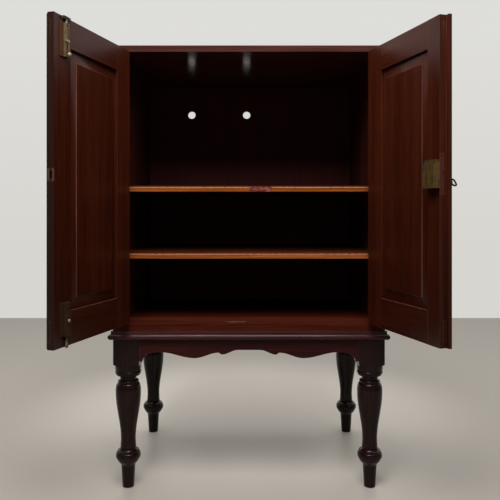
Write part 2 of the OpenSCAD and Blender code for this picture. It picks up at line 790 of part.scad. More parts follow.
module lower_shelf() {
  color("#8a4a22") shelf_blank(lower_shelf_z, lower_shelf_t);
}

module socket_plate_blank(above) {
  at_closed_left()
    translate([rod_u - socket_plate_l / 2, rod_v(bottom_rod_r) - socket_plate_w / 2, -door_gap - plate_t])
      cube([socket_plate_l, socket_plate_w, plate_t + above]);
}

module socket_screw_sites() {
  for (side = [-1, 1])
    at_closed_left()
      translate([rod_u + side * socket_screw_x, rod_v(bottom_rod_r), -door_gap]) children();
}

module bolt_socket_plate() {
  color("#b58a3c") difference() {
    socket_plate_blank(0);
    socket_screw_sites() screw(small_screw_l, small_screw_r);
    at_closed_left() translate([rod_u, rod_v(bottom_rod_r), -door_gap - plate_t - cut])
      cylinder(h = plate_t + 2 * cut, r = bottom_rod_r + socket_play);
  }
}

/* Hinges */

// One hinge leaf with its knuckles; first is the number of the lowest knuckle that it carries
module hinge_leaf(plate_u, first) {
  difference() {
    union() {
      translate([plate_u, 0, 0]) cube([leaf_t, leaf_w, hinge_l]);
      cylinder(h = hinge_l, r = knuckle_r);
    }
    for (i = [1 - first:2:4])
      translate([0, 0, i * knuckle_l - knuckle_end_gap / 2])
        cylinder(h = knuckle_l + knuckle_end_gap, r = knuckle_cut_r);
    translate([0, 0, -cut]) cylinder(h = hinge_l + 2 * cut, r = pin_r + pin_play);
  }
}

// Places of the three screws of a leaf, with their heads facing +Z
module leaf_screw_sites() {
  for (z = [leaf_screw_end, hinge_l / 2, hinge_l - leaf_screw_end])
    translate([0, leaf_screw_v, z]) children();
}

module side_leaf(z) {
  color("#b58a3c") translate([0, 0, z]) difference() {
    hinge_leaf(-edge_u - leaf_t, 0);
    side_screw_sites() screw(hinge_screw_l);
  }
}

module side_screw_sites() {
  translate([-edge_u, 0, 0]) leaf_screw_sites() rotate([0, 90, 0]) children();
}

module door_leaf(z) {
  color("#b58a3c") translate([0, 0, z]) difference() {
    hinge_leaf(edge_u, 1);
    door_screw_sites() screw(hinge_screw_l);
  }
}

module door_screw_sites() {
  translate([edge_u, 0, 0]) leaf_screw_sites() rotate([0, -90, 0]) children();
}

// Recesses and screw holes for both hinges in a side, beside the closed door
module side_leaf_recesses() {
  for (z = hinge_z) translate([0, 0, z]) {
    translate([-edge_u - leaf_t, 0, 0]) cube([leaf_t + cut, leaf_w, hinge_l]);
    side_screw_sites() screw(hinge_screw_l);
  }
}

// Recesses and screw holes for both hinges in a door's hinge stile
module door_leaf_recesses() {
  for (z = hinge_z) translate([0, 0, z]) {
    translate([edge_u - cut, 0, 0]) cube([leaf_t + cut, leaf_w, hinge_l]);
    door_screw_sites() screw(hinge_screw_l);
  }
}

module hinge_pin(z) {
  color("#b58a3c") translate([0, 0, z]) {
    translate([0, 0, -pin_head_h]) cylinder(h = pin_head_h, r1 = pin_r, r2 = pin_head_r);
    cylinder(h = hinge_l, r = pin_r);
    translate([0, 0, hinge_l]) cylinder(h = pin_head_h, r1 = pin_head_r, r2 = pin_r);
  }
}

module side_hinge_screws() {
  color("#b58a3c") for (z = hinge_z) {
    at_closed_left() translate([0, 0, z]) side_screw_sites() screw(hinge_screw_l);
    at_closed_right() translate([0, 0, z]) side_screw_sites() screw(hinge_screw_l);
  }
}

/* Door frames and panels */

// The tenons of one rail, from inside the hinge stile to the closing edge
module tenon_bar(z0, z1, end_u) {
  span_box([stile_u - blind_tenon_l, middle_v - groove_t / 2, z0], [end_u, middle_v + groove_t / 2, z1]);
}

module top_tenon(end_u) {
  tenon_bar(upper_rail_z + tenon_inner_margin, door_h - tenon_end_margin, end_u);
}

module bottom_tenon(end_u) {
  tenon_bar(tenon_end_margin, bottom_rail_w - tenon_inner_margin, end_u);
}

// The groove for the panel: a slab that cuts the frame's inner edges
module panel_groove() {
  span_box([stile_u - groove_depth, middle_v - groove_t / 2, bottom_rail_w - groove_depth],
           [closing_u + groove_depth, middle_v + groove_t / 2, upper_rail_z + groove_depth]);
}

module hinge_stile() {
  color("#5a2a17") difference() {
    span_box([edge_u, face_v, 0], [stile_u, inner_v, door_h]);
    panel_groove();
    top_tenon(closing_u);
    bottom_tenon(closing_u);
    door_leaf_recesses();
  }
}

module top_rail(end_u) {
  color("#5a2a17") difference() {
    union() {
      span_box([stile_u, face_v, upper_rail_z], [closing_u, inner_v, door_h]);
      top_tenon(end_u);
    }
    panel_groove();
  }
}

module bottom_rail(end_u) {
  color("#5a2a17") difference() {
    union() {
      span_box([stile_u, face_v, 0], [closing_u, inner_v, bottom_rail_w]);
      bottom_tenon(end_u);
    }
    panel_groove();
  }
}

module panel() {
  w = closing_u - stile_u + 2 * panel_reach;
  h = upper_rail_z - bottom_rail_w + panel_reach + groove_depth;
  z0 = bottom_rail_w - groove_depth;
  color("#6b3218") intersection() {
    translate([stile_u - panel_reach, middle_v, z0])
      linear_extrude(height = h) panel_section(w, panel_reach, panel_reach);
    translate([closing_u + panel_reach, middle_v, z0]) rotate([0, -90, 0])
      linear_extrude(height = w) panel_section(h, groove_depth, panel_reach);
  }
}

module left_closing_stile() {
  color("#5a2a17") at_left_door() difference() {
    union() {
      span_box([closing_u, face_v, 0], [outer_end_u, face_v + rebate_t, door_h]);
      span_box([closing_u, face_v + rebate_t, 0], [tongue_end_u, inner_v, door_h]);
    }
    panel_groove();
    top_tenon(tongue_end_u + cut);
    bottom_tenon(tongue_end_u + cut);
    keep_blank(cut);
    keep_slot(lock_throw + keep_slot_room);
    bolt_screw_sites() screw(case_screw_l, small_screw_r);
    keep_screw_sites() screw(small_screw_l, small_screw_r);
    guide_screw_site() screw(guide_screw_l, small_screw_r);
  }
}

module right_closing_stile() {
  color("#5a2a17") at_right_door() difference() {
    union() {
      span_box([closing_u, face_v, 0], [outer_end_u, face_v + lip_t, door_h]);
      span_box([closing_u, face_v + lip_t, 0], [main_end_u, inner_v, door_h]);
    }
    panel_groove();
    top_tenon(main_end_u + cut);
    bottom_tenon(main_end_u + cut);
    lock_mortise();
    through(face_v - cut, inner_v) keyhole(0);
    through(face_v - cut, face_v + plate_t) keyhole(lining_w);
  }
}

/* Bolts on the left door */

// Places of the screws at the corners of both base plates
module bolt_screw_sites() {
  for (z0 = [top_case_z, bottom_case_inset], z = [case_screw_end, bolt_case_l - case_screw_end])
    translate([case_screw_u, inner_v + bolt_plate_t, z0 + z]) rotate([-90, 0, 0]) children();
}

// Base plate with its housing for a rod of radius r. The slot is for a knob that stands at knob_z
// and moves from low to high, and the round hole over the rod is at sight_z.
module bolt_case(z0, r, knob_z, low, high, sight_z) {
  slot_w = 2 * (knob_stem_r + rod_play);
  outer_v = inner_v + case_t(r);
  difference() {
    union() {
      span_box([bolt_plate_u, inner_v, z0],
               [bolt_plate_u + bolt_plate_w, inner_v + bolt_plate_t, z0 + bolt_case_l]);
      span_box([bolt_case_u, inner_v, z0], [bolt_case_u + bolt_case_w, outer_v, z0 + bolt_case_l]);
    }
    translate([rod_u, rod_v(r), z0 - cut]) cylinder(h = bolt_case_l + 2 * cut, r = r + rod_play);
    span_box([rod_u - slot_w / 2, rod_v(r), knob_z + low - slot_w / 2],
             [rod_u + slot_w / 2, outer_v + cut, knob_z + high + slot_w / 2]);
    translate([rod_u, rod_v(r), sight_z]) rotate([-90, 0, 0])
      cylinder(h = case_t(r), r = sight_hole_r);
    bolt_screw_sites() screw(case_screw_l, small_screw_r);
  }
}

module top_bolt_case() {
  outer_v = inner_v + case_t(top_rod_r);
  sight_z = top_case_z + bolt_case_l - top_sight_drop;
  color("#8f7746") at_left_door() {
    bolt_case(top_case_z, top_rod_r, top_knob_z, -rod_rest, bolt_travel + top_slot_spare, sight_z);
    span_box([bolt_case_u, outer_v, band_z],
             [bolt_case_u + bolt_case_w, outer_v + band_proud, band_z + band_h]);
  }
}

module bottom_bolt_case() {
  sight_z = bottom_case_inset + bolt_case_l - bottom_sight_drop;
  color("#8f7746") at_left_door()
    bolt_case(bottom_case_inset, bottom_rod_r, bottom_knob_z, -bolt_travel, rod_rest, sight_z);
}

module guide_screw_site() {
  translate([guide_screw_u, inner_v + case_t(top_rod_r), door_h - guide_h / 2])
    rotate([-90, 0, 0]) children();
}

module top_bolt_guide() {
  color("#8f7746") at_left_door() difference() {
    span_box([rod_u - guide_w / 2, inner_v, door_h - guide_h],
             [rod_u + guide_w / 2, inner_v + case_t(top_rod_r), door_h]);
    translate([rod_u, rod_v(top_rod_r), door_h - guide_h - cut])
      cylinder(h = guide_h + 2 * cut, r = top_rod_r + rod_play);
    guide_screw_site() screw(guide_screw_l, small_screw_r);
  }
}

// Outline of a knob of radius r on its stem, from the rod's axis outwards
function knob_outline(stem_l, r) = concat(
  [[0, 0], [knob_stem_r, 0], [knob_stem_r, stem_l]],
  out_then_up(knob_stem_r, stem_l, r, stem_l + 0.45 * r),
  up_then_out(r, stem_l + 0.6 * r, 0, stem_l + 1.2 * r));

// A sliding rod of radius r from z0 to z1 with a knob of radius head_r at knob_z, whose head is
// gap clear of the housing
module bolt_rod(z0, z1, r, knob_z, head_r, gap) {
  stem_l = case_t(r) / 2 + gap;
  color("#b9a878") at_left_door() {
    translate([rod_u, rod_v(r), z0]) cylinder(h = z1 - z0, r = r);
    translate([rod_u, rod_v(r), knob_z]) rotate([-90, 0, 0])
      rotate_extrude() polygon(knob_outline(stem_l, head_r));
  }
}

module top_bolt_rod() {
  bolt_rod(top_knob_z - rod_tail, door_h + rod_rest, top_rod_r, top_knob_z, top_knob_r,
           top_knob_gap);
}

module bottom_bolt_rod() {
  bolt_rod(-rod_rest, bottom_knob_z + rod_tail, bottom_rod_r, bottom_knob_z, bottom_knob_r,
           bottom_knob_gap);
}

/* Lock on the right door */

// The space for the sunk part of the lock and for the selvedge on the door's edge
module lock_mortise() {
  span_box([sunk_u, sunk_v, lock_z + lock_inset],
           [main_end_u + cut, inner_v + cut, lock_z + lock_h - lock_inset]);
  selvedge_blank(cut);
  selvedge_screw_sites() screw(small_screw_l, small_screw_r);
}

module selvedge_blank(past) {
  span_box([main_end_u - plate_t, sunk_v, lock_z - selvedge_reach],
           [main_end_u + past, inner_v, lock_z + lock_h + selvedge_reach]);
}

module selvedge_screw_sites() {
  for (z = [lock_z - selvedge_screw_end, lock_z + lock_h + selvedge_screw_end])
    translate([main_end_u, (sunk_v + inner_v) / 2, z]) rotate([0, 90, 0]) children();
}

// The straight bar of the lock bolt with an even clearance round it
module lock_bolt_bar(end_u, play) {
  span_box([bolt_tail_u - play, bolt_v - play, lock_rise - lock_bolt_h / 2 - play],
           [end_u, bolt_v + lock_bolt_t + play, lock_rise + lock_bolt_h / 2 + play]);
}

// Outline of the keyhole, or of its lining where it is made wider: a round eye for the barrel
// and a slot below it for the bit
module keyhole(wider) {
  half_w = bit_t / 2 + keyhole_play + wider;
  low = bit_reach + keyhole_play + wider;
  translate([key_u, key_z]) circle(r = key_r + keyhole_play + wider);
  translate([key_u - half_w, key_z - low]) square([2 * half_w, low]);
}

module keyhole_lining() {
  color("#b58a3c") at_right_door() through(face_v, face_v + plate_t) difference() {
    keyhole(lining_w);
    keyhole(0);
  }
}

// Outline of the lock case, with its upper corner away from the door's edge rounded
module lock_outline() {
  polygon(concat(
    [[lock_u, lock_z], [main_end_u, lock_z], [main_end_u, lock_z + lock_h]],
    [for (i = [0:curve_steps]) let (a = 90 * i / curve_steps)
      [lock_u + lock_corner_r * (1 - sin(a)), lock_z + lock_h - lock_corner_r * (1 - cos(a))]]));
}

// Case open towards the lock cap, with the drill pin for the key and the stump for the bolt
module lock_case() {
  back_v = inner_v + lock_proud - lock_wall;
  color("#6e5c34") at_right_door() {
    difference() {
      union() {
        through(inner_v, inner_v + lock_proud) lock_outline();
        span_box([sunk_u, sunk_v + lock_wall, lock_z + lock_inset],
                 [main_end_u - plate_t, inner_v, lock_z + lock_h - lock_inset]);
      }
      span_box([sunk_u + lock_wall, sunk_v, lock_z + lock_inset + lock_wall],
               [main_end_u - plate_t, back_v, lock_z + lock_h - lock_inset - lock_wall]);
    }
    pin_end_v = key_end_v - key_bore_l + key_pin_room;
    translate([key_u, pin_end_v, key_z]) rotate([-90, 0, 0])
      cylinder(h = back_v - pin_end_v, r = drill_pin_r);
    translate([stump_u, sunk_v + lock_wall, lock_rise + stump_rise]) rotate([-90, 0, 0])
      cylinder(h = back_v - sunk_v - lock_wall, r = stump_r);
  }
}

module lock_cap() {
  color("#6e5c34") at_right_door() difference() {
    span_box([sunk_u, sunk_v, lock_z + lock_inset],
             [main_end_u - plate_t, sunk_v + lock_wall, lock_z + lock_h - lock_inset]);
    through(sunk_v - cut, sunk_v + lock_wall + cut) keyhole(0);
  }
}

module lock_selvedge() {
  color("#8f7746") at_right_door() difference() {
    selvedge_blank(0);
    lock_bolt_bar(main_end_u + cut, lock_bolt_play);
    selvedge_screw_sites() screw(small_screw_l, small_screw_r);
  }
}

// Bolt with the talon notch that the key's bit turns through, and the slot for the stump
module lock_bolt() {
  slot_half_h = stump_r + stump_play;
  color("#b58a3c") at_right_door() difference() {
    lock_bolt_bar(main_end_u - lock_bolt_rest, 0);
    span_box([talon_u - talon_half_w, sunk_v, lock_z],
             [talon_u + talon_half_w, inner_v, lock_rise - lock_bolt_h / 2 + talon_depth]);
    span_box([stump_u - slot_half_h - lock_throw, sunk_v, lock_rise + stump_rise - slot_half_h],
             [stump_u + slot_half_h, inner_v, lock_rise + stump_rise + slot_half_h]);
  }
}

// One of the two half rings of the bow, bent round the left or right end of its straight sides
module bow_end(side) {
  translate([side * bow_straight_l / 2, 0, 0]) intersection() {
    rotate_extrude() translate([bow_r, 0]) circle(r = bow_wire_r);
    translate([side > 0 ? 0 : -2 * bow_r, -2 * bow_r, -bow_r])
      cube([2 * bow_r, 4 * bow_r, 2 * bow_r]);
  }
}

// The oval bow, flat in the (u, v) plane with its middle at the origin
module bow() {
  for (side = [-1, 1]) {
    bow_end(side);
    translate([-bow_straight_l / 2, side * bow_r, 0]) rotate([0, 90, 0])
      cylinder(h = bow_straight_l, r = bow_wire_r);
  }
}

// A round collar on the key's shank
module key_collar(v) {
  translate([0, v, 0]) rotate([-90, 0, 0]) cylinder(h = key_collar_h, r = key_r + key_collar_out);
}

// Pipe key, drawn partly turned: its bit points down and towards the closing edge
module key() {
  shank_v = face_v - key_stand_off;
  color("#9a9a94") at_right_door() translate([key_u, 0, key_z]) rotate([0, -key_rest_turn, 0]) {
    difference() {
      union() {
        translate([0, shank_v, 0]) rotate([-90, 0, 0]) cylinder(h = key_end_v - shank_v, r = key_r);
        translate([-bit_t / 2, bolt_v, -bit_reach]) cube([bit_t, lock_bolt_t, bit_reach]);
      }
      translate([0, key_end_v - key_bore_l, 0]) rotate([-90, 0, 0])
        cylinder(h = key_bore_l + cut, r = drill_pin_r + key_play);
    }
    key_collar(shank_v);
    key_collar(shank_v + key_collar_step);
    translate([0, shank_v - bow_r, 0]) rotate([0, 90, 0]) bow();
  }
}

/* Keep plate on the left door */

module keep_blank(past) {
  span_box([tongue_end_u - plate_t, face_v + rebate_t, lock_rise - keep_h / 2],
           [tongue_end_u + past, inner_v, lock_rise + keep_h / 2]);
}

module keep_slot(depth) {
  v = bolt_v + lock_bolt_t / 2;
  span_box([tongue_end_u - depth, v - keep_slot_w / 2, lock_rise - keep_slot_h / 2],
           [tongue_end_u + cut, v + keep_slot_w / 2, lock_rise + keep_slot_h / 2]);
}

module keep_screw_sites() {
  v = (face_v + rebate_t + inner_v) / 2;
  for (side = [-1, 1])
    translate([tongue_end_u, v, lock_rise + side * keep_screw_rise]) rotate([0, 90, 0]) children();
}

module keep_plate() {
  color("#b58a3c") at_left_door() difference() {
    keep_blank(0);
    keep_slot(lock_throw);
    keep_screw_sites() screw(small_screw_l, small_screw_r);
  }
}

module left_door_screws() {
  color("#b58a3c") at_left_door() {
    for (z = hinge_z) translate([0, 0, z]) door_screw_sites() screw(hinge_screw_l);
    bolt_screw_sites() screw(case_screw_l, small_screw_r);
    keep_screw_sites() screw(small_screw_l, small_screw_r);
    guide_screw_site() screw(guide_screw_l, small_screw_r);
  }
}

module right_door_screws() {
  color("#b58a3c") at_right_door() {
    for (z = hinge_z) translate([0, 0, z]) door_screw_sites() screw(hinge_screw_l);
    selvedge_screw_sites() screw(small_screw_l, small_screw_r);
  }
}

module socket_plate_screws() {
  color("#b58a3c") socket_screw_sites() screw(small_screw_l, small_screw_r);
}

/* The two doors' frame pieces, panels and hinge parts, each in its place */

module hinge_side_leaf_left_top() {
  at_closed_left() side_leaf(hinge_z[1]);
}

module hinge_door_leaf_left_top() {
  at_left_door() door_leaf(hinge_z[1]);
}

module hinge_pin_left_top() {
  at_closed_left() hinge_pin(hinge_z[1]);
}

module hinge_side_leaf_left_bottom() {
  at_closed_left() side_leaf(hinge_z[0]);
}

module hinge_door_leaf_left_bottom() {
  at_left_door() door_leaf(hinge_z[0]);
}

module hinge_pin_left_bottom() {
  at_closed_left() hinge_pin(hinge_z[0]);
}

module hinge_side_leaf_right_top() {
  at_closed_right() side_leaf(hinge_z[1]);
}

module hinge_door_leaf_right_top() {
  at_right_door() door_leaf(hinge_z[1]);
}

module hinge_pin_right_top() {
  at_closed_right() hinge_pin(hinge_z[1]);
}

module hinge_side_leaf_right_bottom() {
  at_closed_right() side_leaf(hinge_z[0]);
}

module hinge_door_leaf_right_bottom() {
  at_right_door() door_leaf(hinge_z[0]);
}

module hinge_pin_right_bottom() {
  at_closed_right() hinge_pin(hinge_z[0]);
}

module left_hinge_stile() {
  at_left_door() hinge_stile();
}

module left_top_rail() {
  at_left_door() top_rail(tongue_end_u);
}

module left_bottom_rail() {
  at_left_door() bottom_rail(tongue_end_u);
}

module left_panel() {
  at_left_door() panel();
}

module right_hinge_stile() {
  at_right_door() hinge_stile();
}

module right_top_rail() {
  at_right_door() top_rail(main_end_u);
}

module right_bottom_rail() {
  at_right_door() bottom_rail(main_end_u);
}

module right_panel() {
  at_right_door() panel();
}

leg(-1, -1);  // leg_front_left
leg(1, -1);  // leg_front_right
leg(-1, 1);  // leg_rear_left
leg(1, 1);  // leg_rear_right
front_apron();
rear_rail();
side_rail(-1);  // side_rail_left
side_rail(1);  // side_rail_right
stand_top();
glue_blocks();
side(-1);  // side_left
side(1);  // side_right
top_board();
bottom_board();
back_panel();
back_screws();
upper_shelf();
lower_shelf();
hinge_side_leaf_left_top();
hinge_side_leaf_left_bottom();
hinge_side_leaf_right_top();
hinge_side_leaf_right_bottom();
hinge_pin_left_top();
hinge_pin_left_bottom();
hinge_pin_right_top();
hinge_pin_right_bottom();
side_hinge_screws();
bolt_socket_plate();
socket_plate_screws();
left_hinge_stile();
left_closing_stile();
left_top_rail();
left_bottom_rail();
left_panel();
hinge_door_leaf_left_top();
hinge_door_leaf_left_bottom();
left_door_screws();
keep_plate();
top_bolt_case();
top_bolt_guide();
bottom_bolt_case();
top_bolt_rod();
bottom_bolt_rod();
right_hinge_stile();
right_closing_stile();
right_top_rail();
right_bottom_rail();
right_panel();
hinge_door_leaf_right_top();
hinge_door_leaf_right_bottom();
right_door_screws();
lock_case();
lock_cap();
lock_selvedge();
keyhole_lining();
lock_bolt();
key();
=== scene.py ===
# %% [markdown]
# # A record and gramophone cabinet on a turned stand
# The real piece is a mahogany box with two doors, standing on its own low table with turned legs.
# The joinery comes ready from the CAD frame. This lesson gives every board its softened edges, its
# grain and its polish, turns the legs as true surfaces of revolution, and lights the whole.

# %% The frame
import json
import math

import bmesh
import bpy
import numpy as np
from mathutils import Matrix, Vector


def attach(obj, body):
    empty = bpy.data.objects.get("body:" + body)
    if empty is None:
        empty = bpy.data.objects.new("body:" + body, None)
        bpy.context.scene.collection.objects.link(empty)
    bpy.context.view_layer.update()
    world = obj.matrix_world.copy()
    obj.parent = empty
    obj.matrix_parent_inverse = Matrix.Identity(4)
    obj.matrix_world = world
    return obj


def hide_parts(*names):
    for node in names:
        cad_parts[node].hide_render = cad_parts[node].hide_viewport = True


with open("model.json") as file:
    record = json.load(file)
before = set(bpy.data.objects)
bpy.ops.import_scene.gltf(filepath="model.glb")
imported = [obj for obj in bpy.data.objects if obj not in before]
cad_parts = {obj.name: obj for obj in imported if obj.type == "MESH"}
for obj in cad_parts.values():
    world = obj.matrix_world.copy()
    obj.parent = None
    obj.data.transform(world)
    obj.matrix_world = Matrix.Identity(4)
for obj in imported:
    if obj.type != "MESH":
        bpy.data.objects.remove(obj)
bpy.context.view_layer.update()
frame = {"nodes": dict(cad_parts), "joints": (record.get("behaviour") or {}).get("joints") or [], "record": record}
mm = 0.001

# %% [markdown]
# ## The camera
# The photograph is a level view from standing height, straight at the front. A lens shift, and not
# a tilt, brings the cabinet to the middle of the picture, so its upright edges stay parallel. The
# place and the lens come from matching the cabinet's corners to the photograph.

# %% Camera
picture_px = 500
focal_px = 644.07
vanishing_px = (252.6, 213.6)

camera_data = bpy.data.cameras.new("camera")
camera_data.sensor_width = 36.0
camera_data.lens = focal_px / picture_px * camera_data.sensor_width
camera_data.shift_x = (picture_px / 2 - vanishing_px[0]) / picture_px
camera_data.shift_y = (vanishing_px[1] - picture_px / 2) / picture_px
camera_data.clip_start = 0.05
camera_data.clip_end = 50
camera = bpy.data.objects.new("camera", camera_data)
camera.location = (8.2 * mm, -1659.6 * mm, 622.7 * mm)
camera.rotation_euler = (math.radians(90), 0, 0)
bpy.context.collection.objects.link(camera)
bpy.context.scene.camera = camera
print("lens", round(camera_data.lens, 2), "mm")

# %% [markdown]
# ## Helpers for meshes and nodes
# A material made by hand in the Shader Editor is a web of small boxes. In a script, the same web
# stays readable when one helper adds a box and feeds its inputs, and three more give names to the
# boxes that come up most: stretching a range, doing a sum and blending two colours.

# %% Helpers for meshes and nodes
sharp_angle = math.radians(30)


def new_mesh(name, points, faces):
    """A mesh from an array of points and a list of faces."""
    mesh = bpy.data.meshes.new(name)
    mesh.from_pydata(np.asarray(points, float).tolist(), [], faces)
    return mesh


def mesh_object(name, mesh, *finishes):
    """A smooth object of a mesh in these finishes, whose edges over sharp_angle stay sharp."""
    mesh.materials.clear()
    for finish in finishes:
        mesh.materials.append(finish)
    mesh.shade_smooth()
    mesh.set_sharp_from_angle(angle=sharp_angle)
    made = bpy.data.objects.new(name, mesh)
    bpy.context.collection.objects.link(made)
    return made


def new_finish(name):
    """An empty material, with its node tree and its Principled shader."""
    made = bpy.data.materials.new(name)
    made.use_nodes = True
    return made, made.node_tree, made.node_tree.nodes["Principled BSDF"]


def feed(tree, value, socket):
    """Links another node's socket to this one, or sets this one to a number, vector or colour."""
    if isinstance(value, bpy.types.NodeSocket):
        tree.links.new(value, socket)
    else:
        socket.default_value = (*value, 1) if socket.type == "RGBA" else value


def add_node(tree, kind, inputs, **settings):
    """A shader node of one kind, with its settings made and then its inputs fed."""
    node = tree.nodes.new("ShaderNode" + kind)
    for label, value in settings.items():
        setattr(node, label, value)
    for key, value in inputs.items():
        feed(tree, value, node.inputs[key])
    return node


def remap(tree, value, low, high, to_low=0.0, to_high=1.0):
    """Spreads the values between low and high over to_low to to_high, and holds them there."""
    ends = {"From Min": low, "From Max": high, "To Min": to_low, "To Max": to_high}
    return add_node(tree, "MapRange", {"Value": value, **ends}).outputs["Result"]


def calculate(tree, operation, first, second):
    """One sum on two values, each a socket or a number."""
    return add_node(tree, "Math", {0: first, 1: second}, operation=operation).outputs[0]


def blend_colours(tree, share, first, second):
    """Mixes two colours, each a socket or a colour, by a share that is a socket or a number."""
    return add_node(tree, "Mix", {0: share, 6: first, 7: second}, data_type="RGBA").outputs[2]


print("edges over", round(math.degrees(sharp_angle)), "degrees stay sharp")

# %% [markdown]
# ## The room
# Only a pale floor and a pale wall stand round the cabinet: they are not part of the object. The
# floor is a real surface with a soft sheen, so it keeps the cabinet's shadow. Its colour is lighter
# between and behind the legs: painted light that makes up for the light a real room scatters under a
# cabinet. The wall grows a little brighter with height. It could be lit by a lamp of its own, but
# that light would spill onto the wood. So the camera and the polish see a wall that glows by itself,
# and all other rays see a plain painted one.

# %% Floor
def seen_rays(tree):
    """One for the rays that show a surface itself, and nothing for its scattered light."""
    rays = add_node(tree, "LightPath", {}).outputs
    seen = calculate(tree, "MAXIMUM", rays["Is Camera Ray"], rays["Is Glossy Ray"])
    return calculate(tree, "MAXIMUM", seen, rays["Is Transmission Ray"])


room_half = 9.0
patch_y, patch_radius, patch_core = 0.448, 0.8, 0.6
far_floor, patch_floor = (0.388, 0.350, 0.305), (0.73, 0.665, 0.588)
floor_paint = (0.24, 0.215, 0.19)

floor_finish, tree, shader = new_finish("floor_finish")
place = add_node(tree, "TexCoord", {}).outputs["Object"]
flat = {0: place, 1: (1 / patch_radius, 1 / patch_radius, 0), 2: (0, -patch_y / patch_radius, 0)}
flat = add_node(tree, "VectorMath", flat, operation="MULTIPLY_ADD").outputs[0]
patch = add_node(tree, "TexGradient", {0: flat}, gradient_type="SPHERICAL").outputs["Fac"]
shown = add_node(tree, "ValToRGB", {0: patch})
shown.color_ramp.interpolation = "EASE"
shown.color_ramp.elements[0].color = (*far_floor, 1)
shown.color_ramp.elements[1].position = patch_core
shown.color_ramp.elements[1].color = (*patch_floor, 1)
paint = blend_colours(tree, seen_rays(tree), floor_paint, shown.outputs[0])
feed(tree, paint, shader.inputs["Base Color"])
feed(tree, 0.42, shader.inputs["Roughness"])
floor_corners = np.array([(-1, -1, 0), (1, -1, 0), (1, 1, 0), (-1, 1, 0)]) * room_half
floor = mesh_object("floor", new_mesh("floor", floor_corners, [(0, 1, 2, 3)]), floor_finish)
print("the floor is", 2 * room_half, "m wide")

# %% Wall
wall_y, wall_top = 2.18, 5.0
wall_paint = (0.68, 0.67, 0.63)
low_glow, high_glow = (0.68, 0.665, 0.63), (0.73, 0.725, 0.70)
low_glow_z, high_glow_z = 0.4, 1.7

wall_finish, tree, shader = new_finish("wall_finish")
feed(tree, wall_paint, shader.inputs["Base Color"])
feed(tree, 0.9, shader.inputs["Roughness"])
place = add_node(tree, "TexCoord", {}).outputs["Object"]
height = add_node(tree, "SeparateXYZ", {0: place}).outputs["Z"]
rise = remap(tree, height, low_glow_z, high_glow_z)
glow = blend_colours(tree, rise, low_glow, high_glow)
glow = add_node(tree, "Emission", {"Color": glow}).outputs[0]
seen = add_node(tree, "MixShader", {0: seen_rays(tree), 1: shader.outputs[0], 2: glow}).outputs[0]
feed(tree, seen, tree.nodes["Material Output"].inputs["Surface"])
wall_corners = [(-room_half, wall_y, 0), (room_half, wall_y, 0),
                (room_half, wall_y, wall_top), (-room_half, wall_y, wall_top)]
wall = mesh_object("wall", new_mesh("wall", wall_corners, [(3, 2, 1, 0)]), wall_finish)
print("the wall stands", wall_y, "m behind the middle")

# %% [markdown]
# ## The light
# In the photograph the fronts of the shelves and the upper parts of the doors are bright, while the
# lower shelves and the back lie in the dark. So the light comes from high up, a little in front of
# the cabinet. One wide soft lamp does that. A wider and weaker one stands for the bright ceiling
# behind it, and the room itself only fills the deepest shadows.

# %% Lights
def area_light(name, size, power, place, target):
    """A square lamp of soft light that faces its target."""
    data = bpy.data.lights.new(name, "AREA")
    data.shape = "SQUARE"
    data.size = size
    data.energy = power
    made = bpy.data.objects.new(name, data)
    made.location = place
    made.rotation_mode = "QUATERNION"
    made.rotation_quaternion = (Vector(target) - Vector(place)).to_track_quat("-Z", "Y")
    bpy.context.collection.objects.link(made)


area_light("front_lamp", 1.2, 50, (-0.1, -1.35, 2.15), (0.0, -0.2, 0.6))
area_light("ceiling_lamp", 4.6, 84, (0.0, 0.2, 3.3), (0.0, 0.2, 0))

world = bpy.data.worlds.new("room_light")
world.use_nodes = True
background = world.node_tree.nodes["Background"]
background.inputs["Color"].default_value = (0.97, 0.98, 1.0, 1)
background.inputs["Strength"].default_value = 0.19
bpy.context.scene.world = world
bpy.context.scene.view_settings.view_transform = "Standard"
print("two lamps and a dim room")

# %% [markdown]
# ## Mahogany
# Mahogany has ribbons of lighter and darker wood that run along the board, fine fibres, and short
# dark pores. A picture of real wood would need an unwrapped mesh and repeats itself. Here each part
# of the figure is a noise stretched along the grain. The group takes coordinates whose Z runs along
# the grain, so a board only needs a turn of its coordinates to have its grain the right way.

# %% The wood group
def stretched_noise(tree, vector, scale, detail):
    """Noise on coordinates multiplied by scale, which lays it out along the grain."""
    laid = add_node(tree, "VectorMath", {0: vector, 1: scale}, operation="MULTIPLY").outputs[0]
    noise = {"Vector": laid, "Scale": 1.0, "Detail": detail}
    return add_node(tree, "TexNoise", noise).outputs["Fac"]


def new_group(name, inputs, outputs):
    """A node group with named sockets: inputs are (name, type, default), outputs (name, type)."""
    group = bpy.data.node_groups.new(name, "ShaderNodeTree")
    for label, kind, default in inputs:
        socket = group.interface.new_socket(label, in_out="INPUT", socket_type=kind)
        if default is not None:
            socket.default_value = default
    for label, kind in outputs:
        group.interface.new_socket(label, in_out="OUTPUT", socket_type=kind)
    start = group.nodes.new("NodeGroupInput")
    end = group.nodes.new("NodeGroupOutput")
    return group, start.outputs, end.inputs


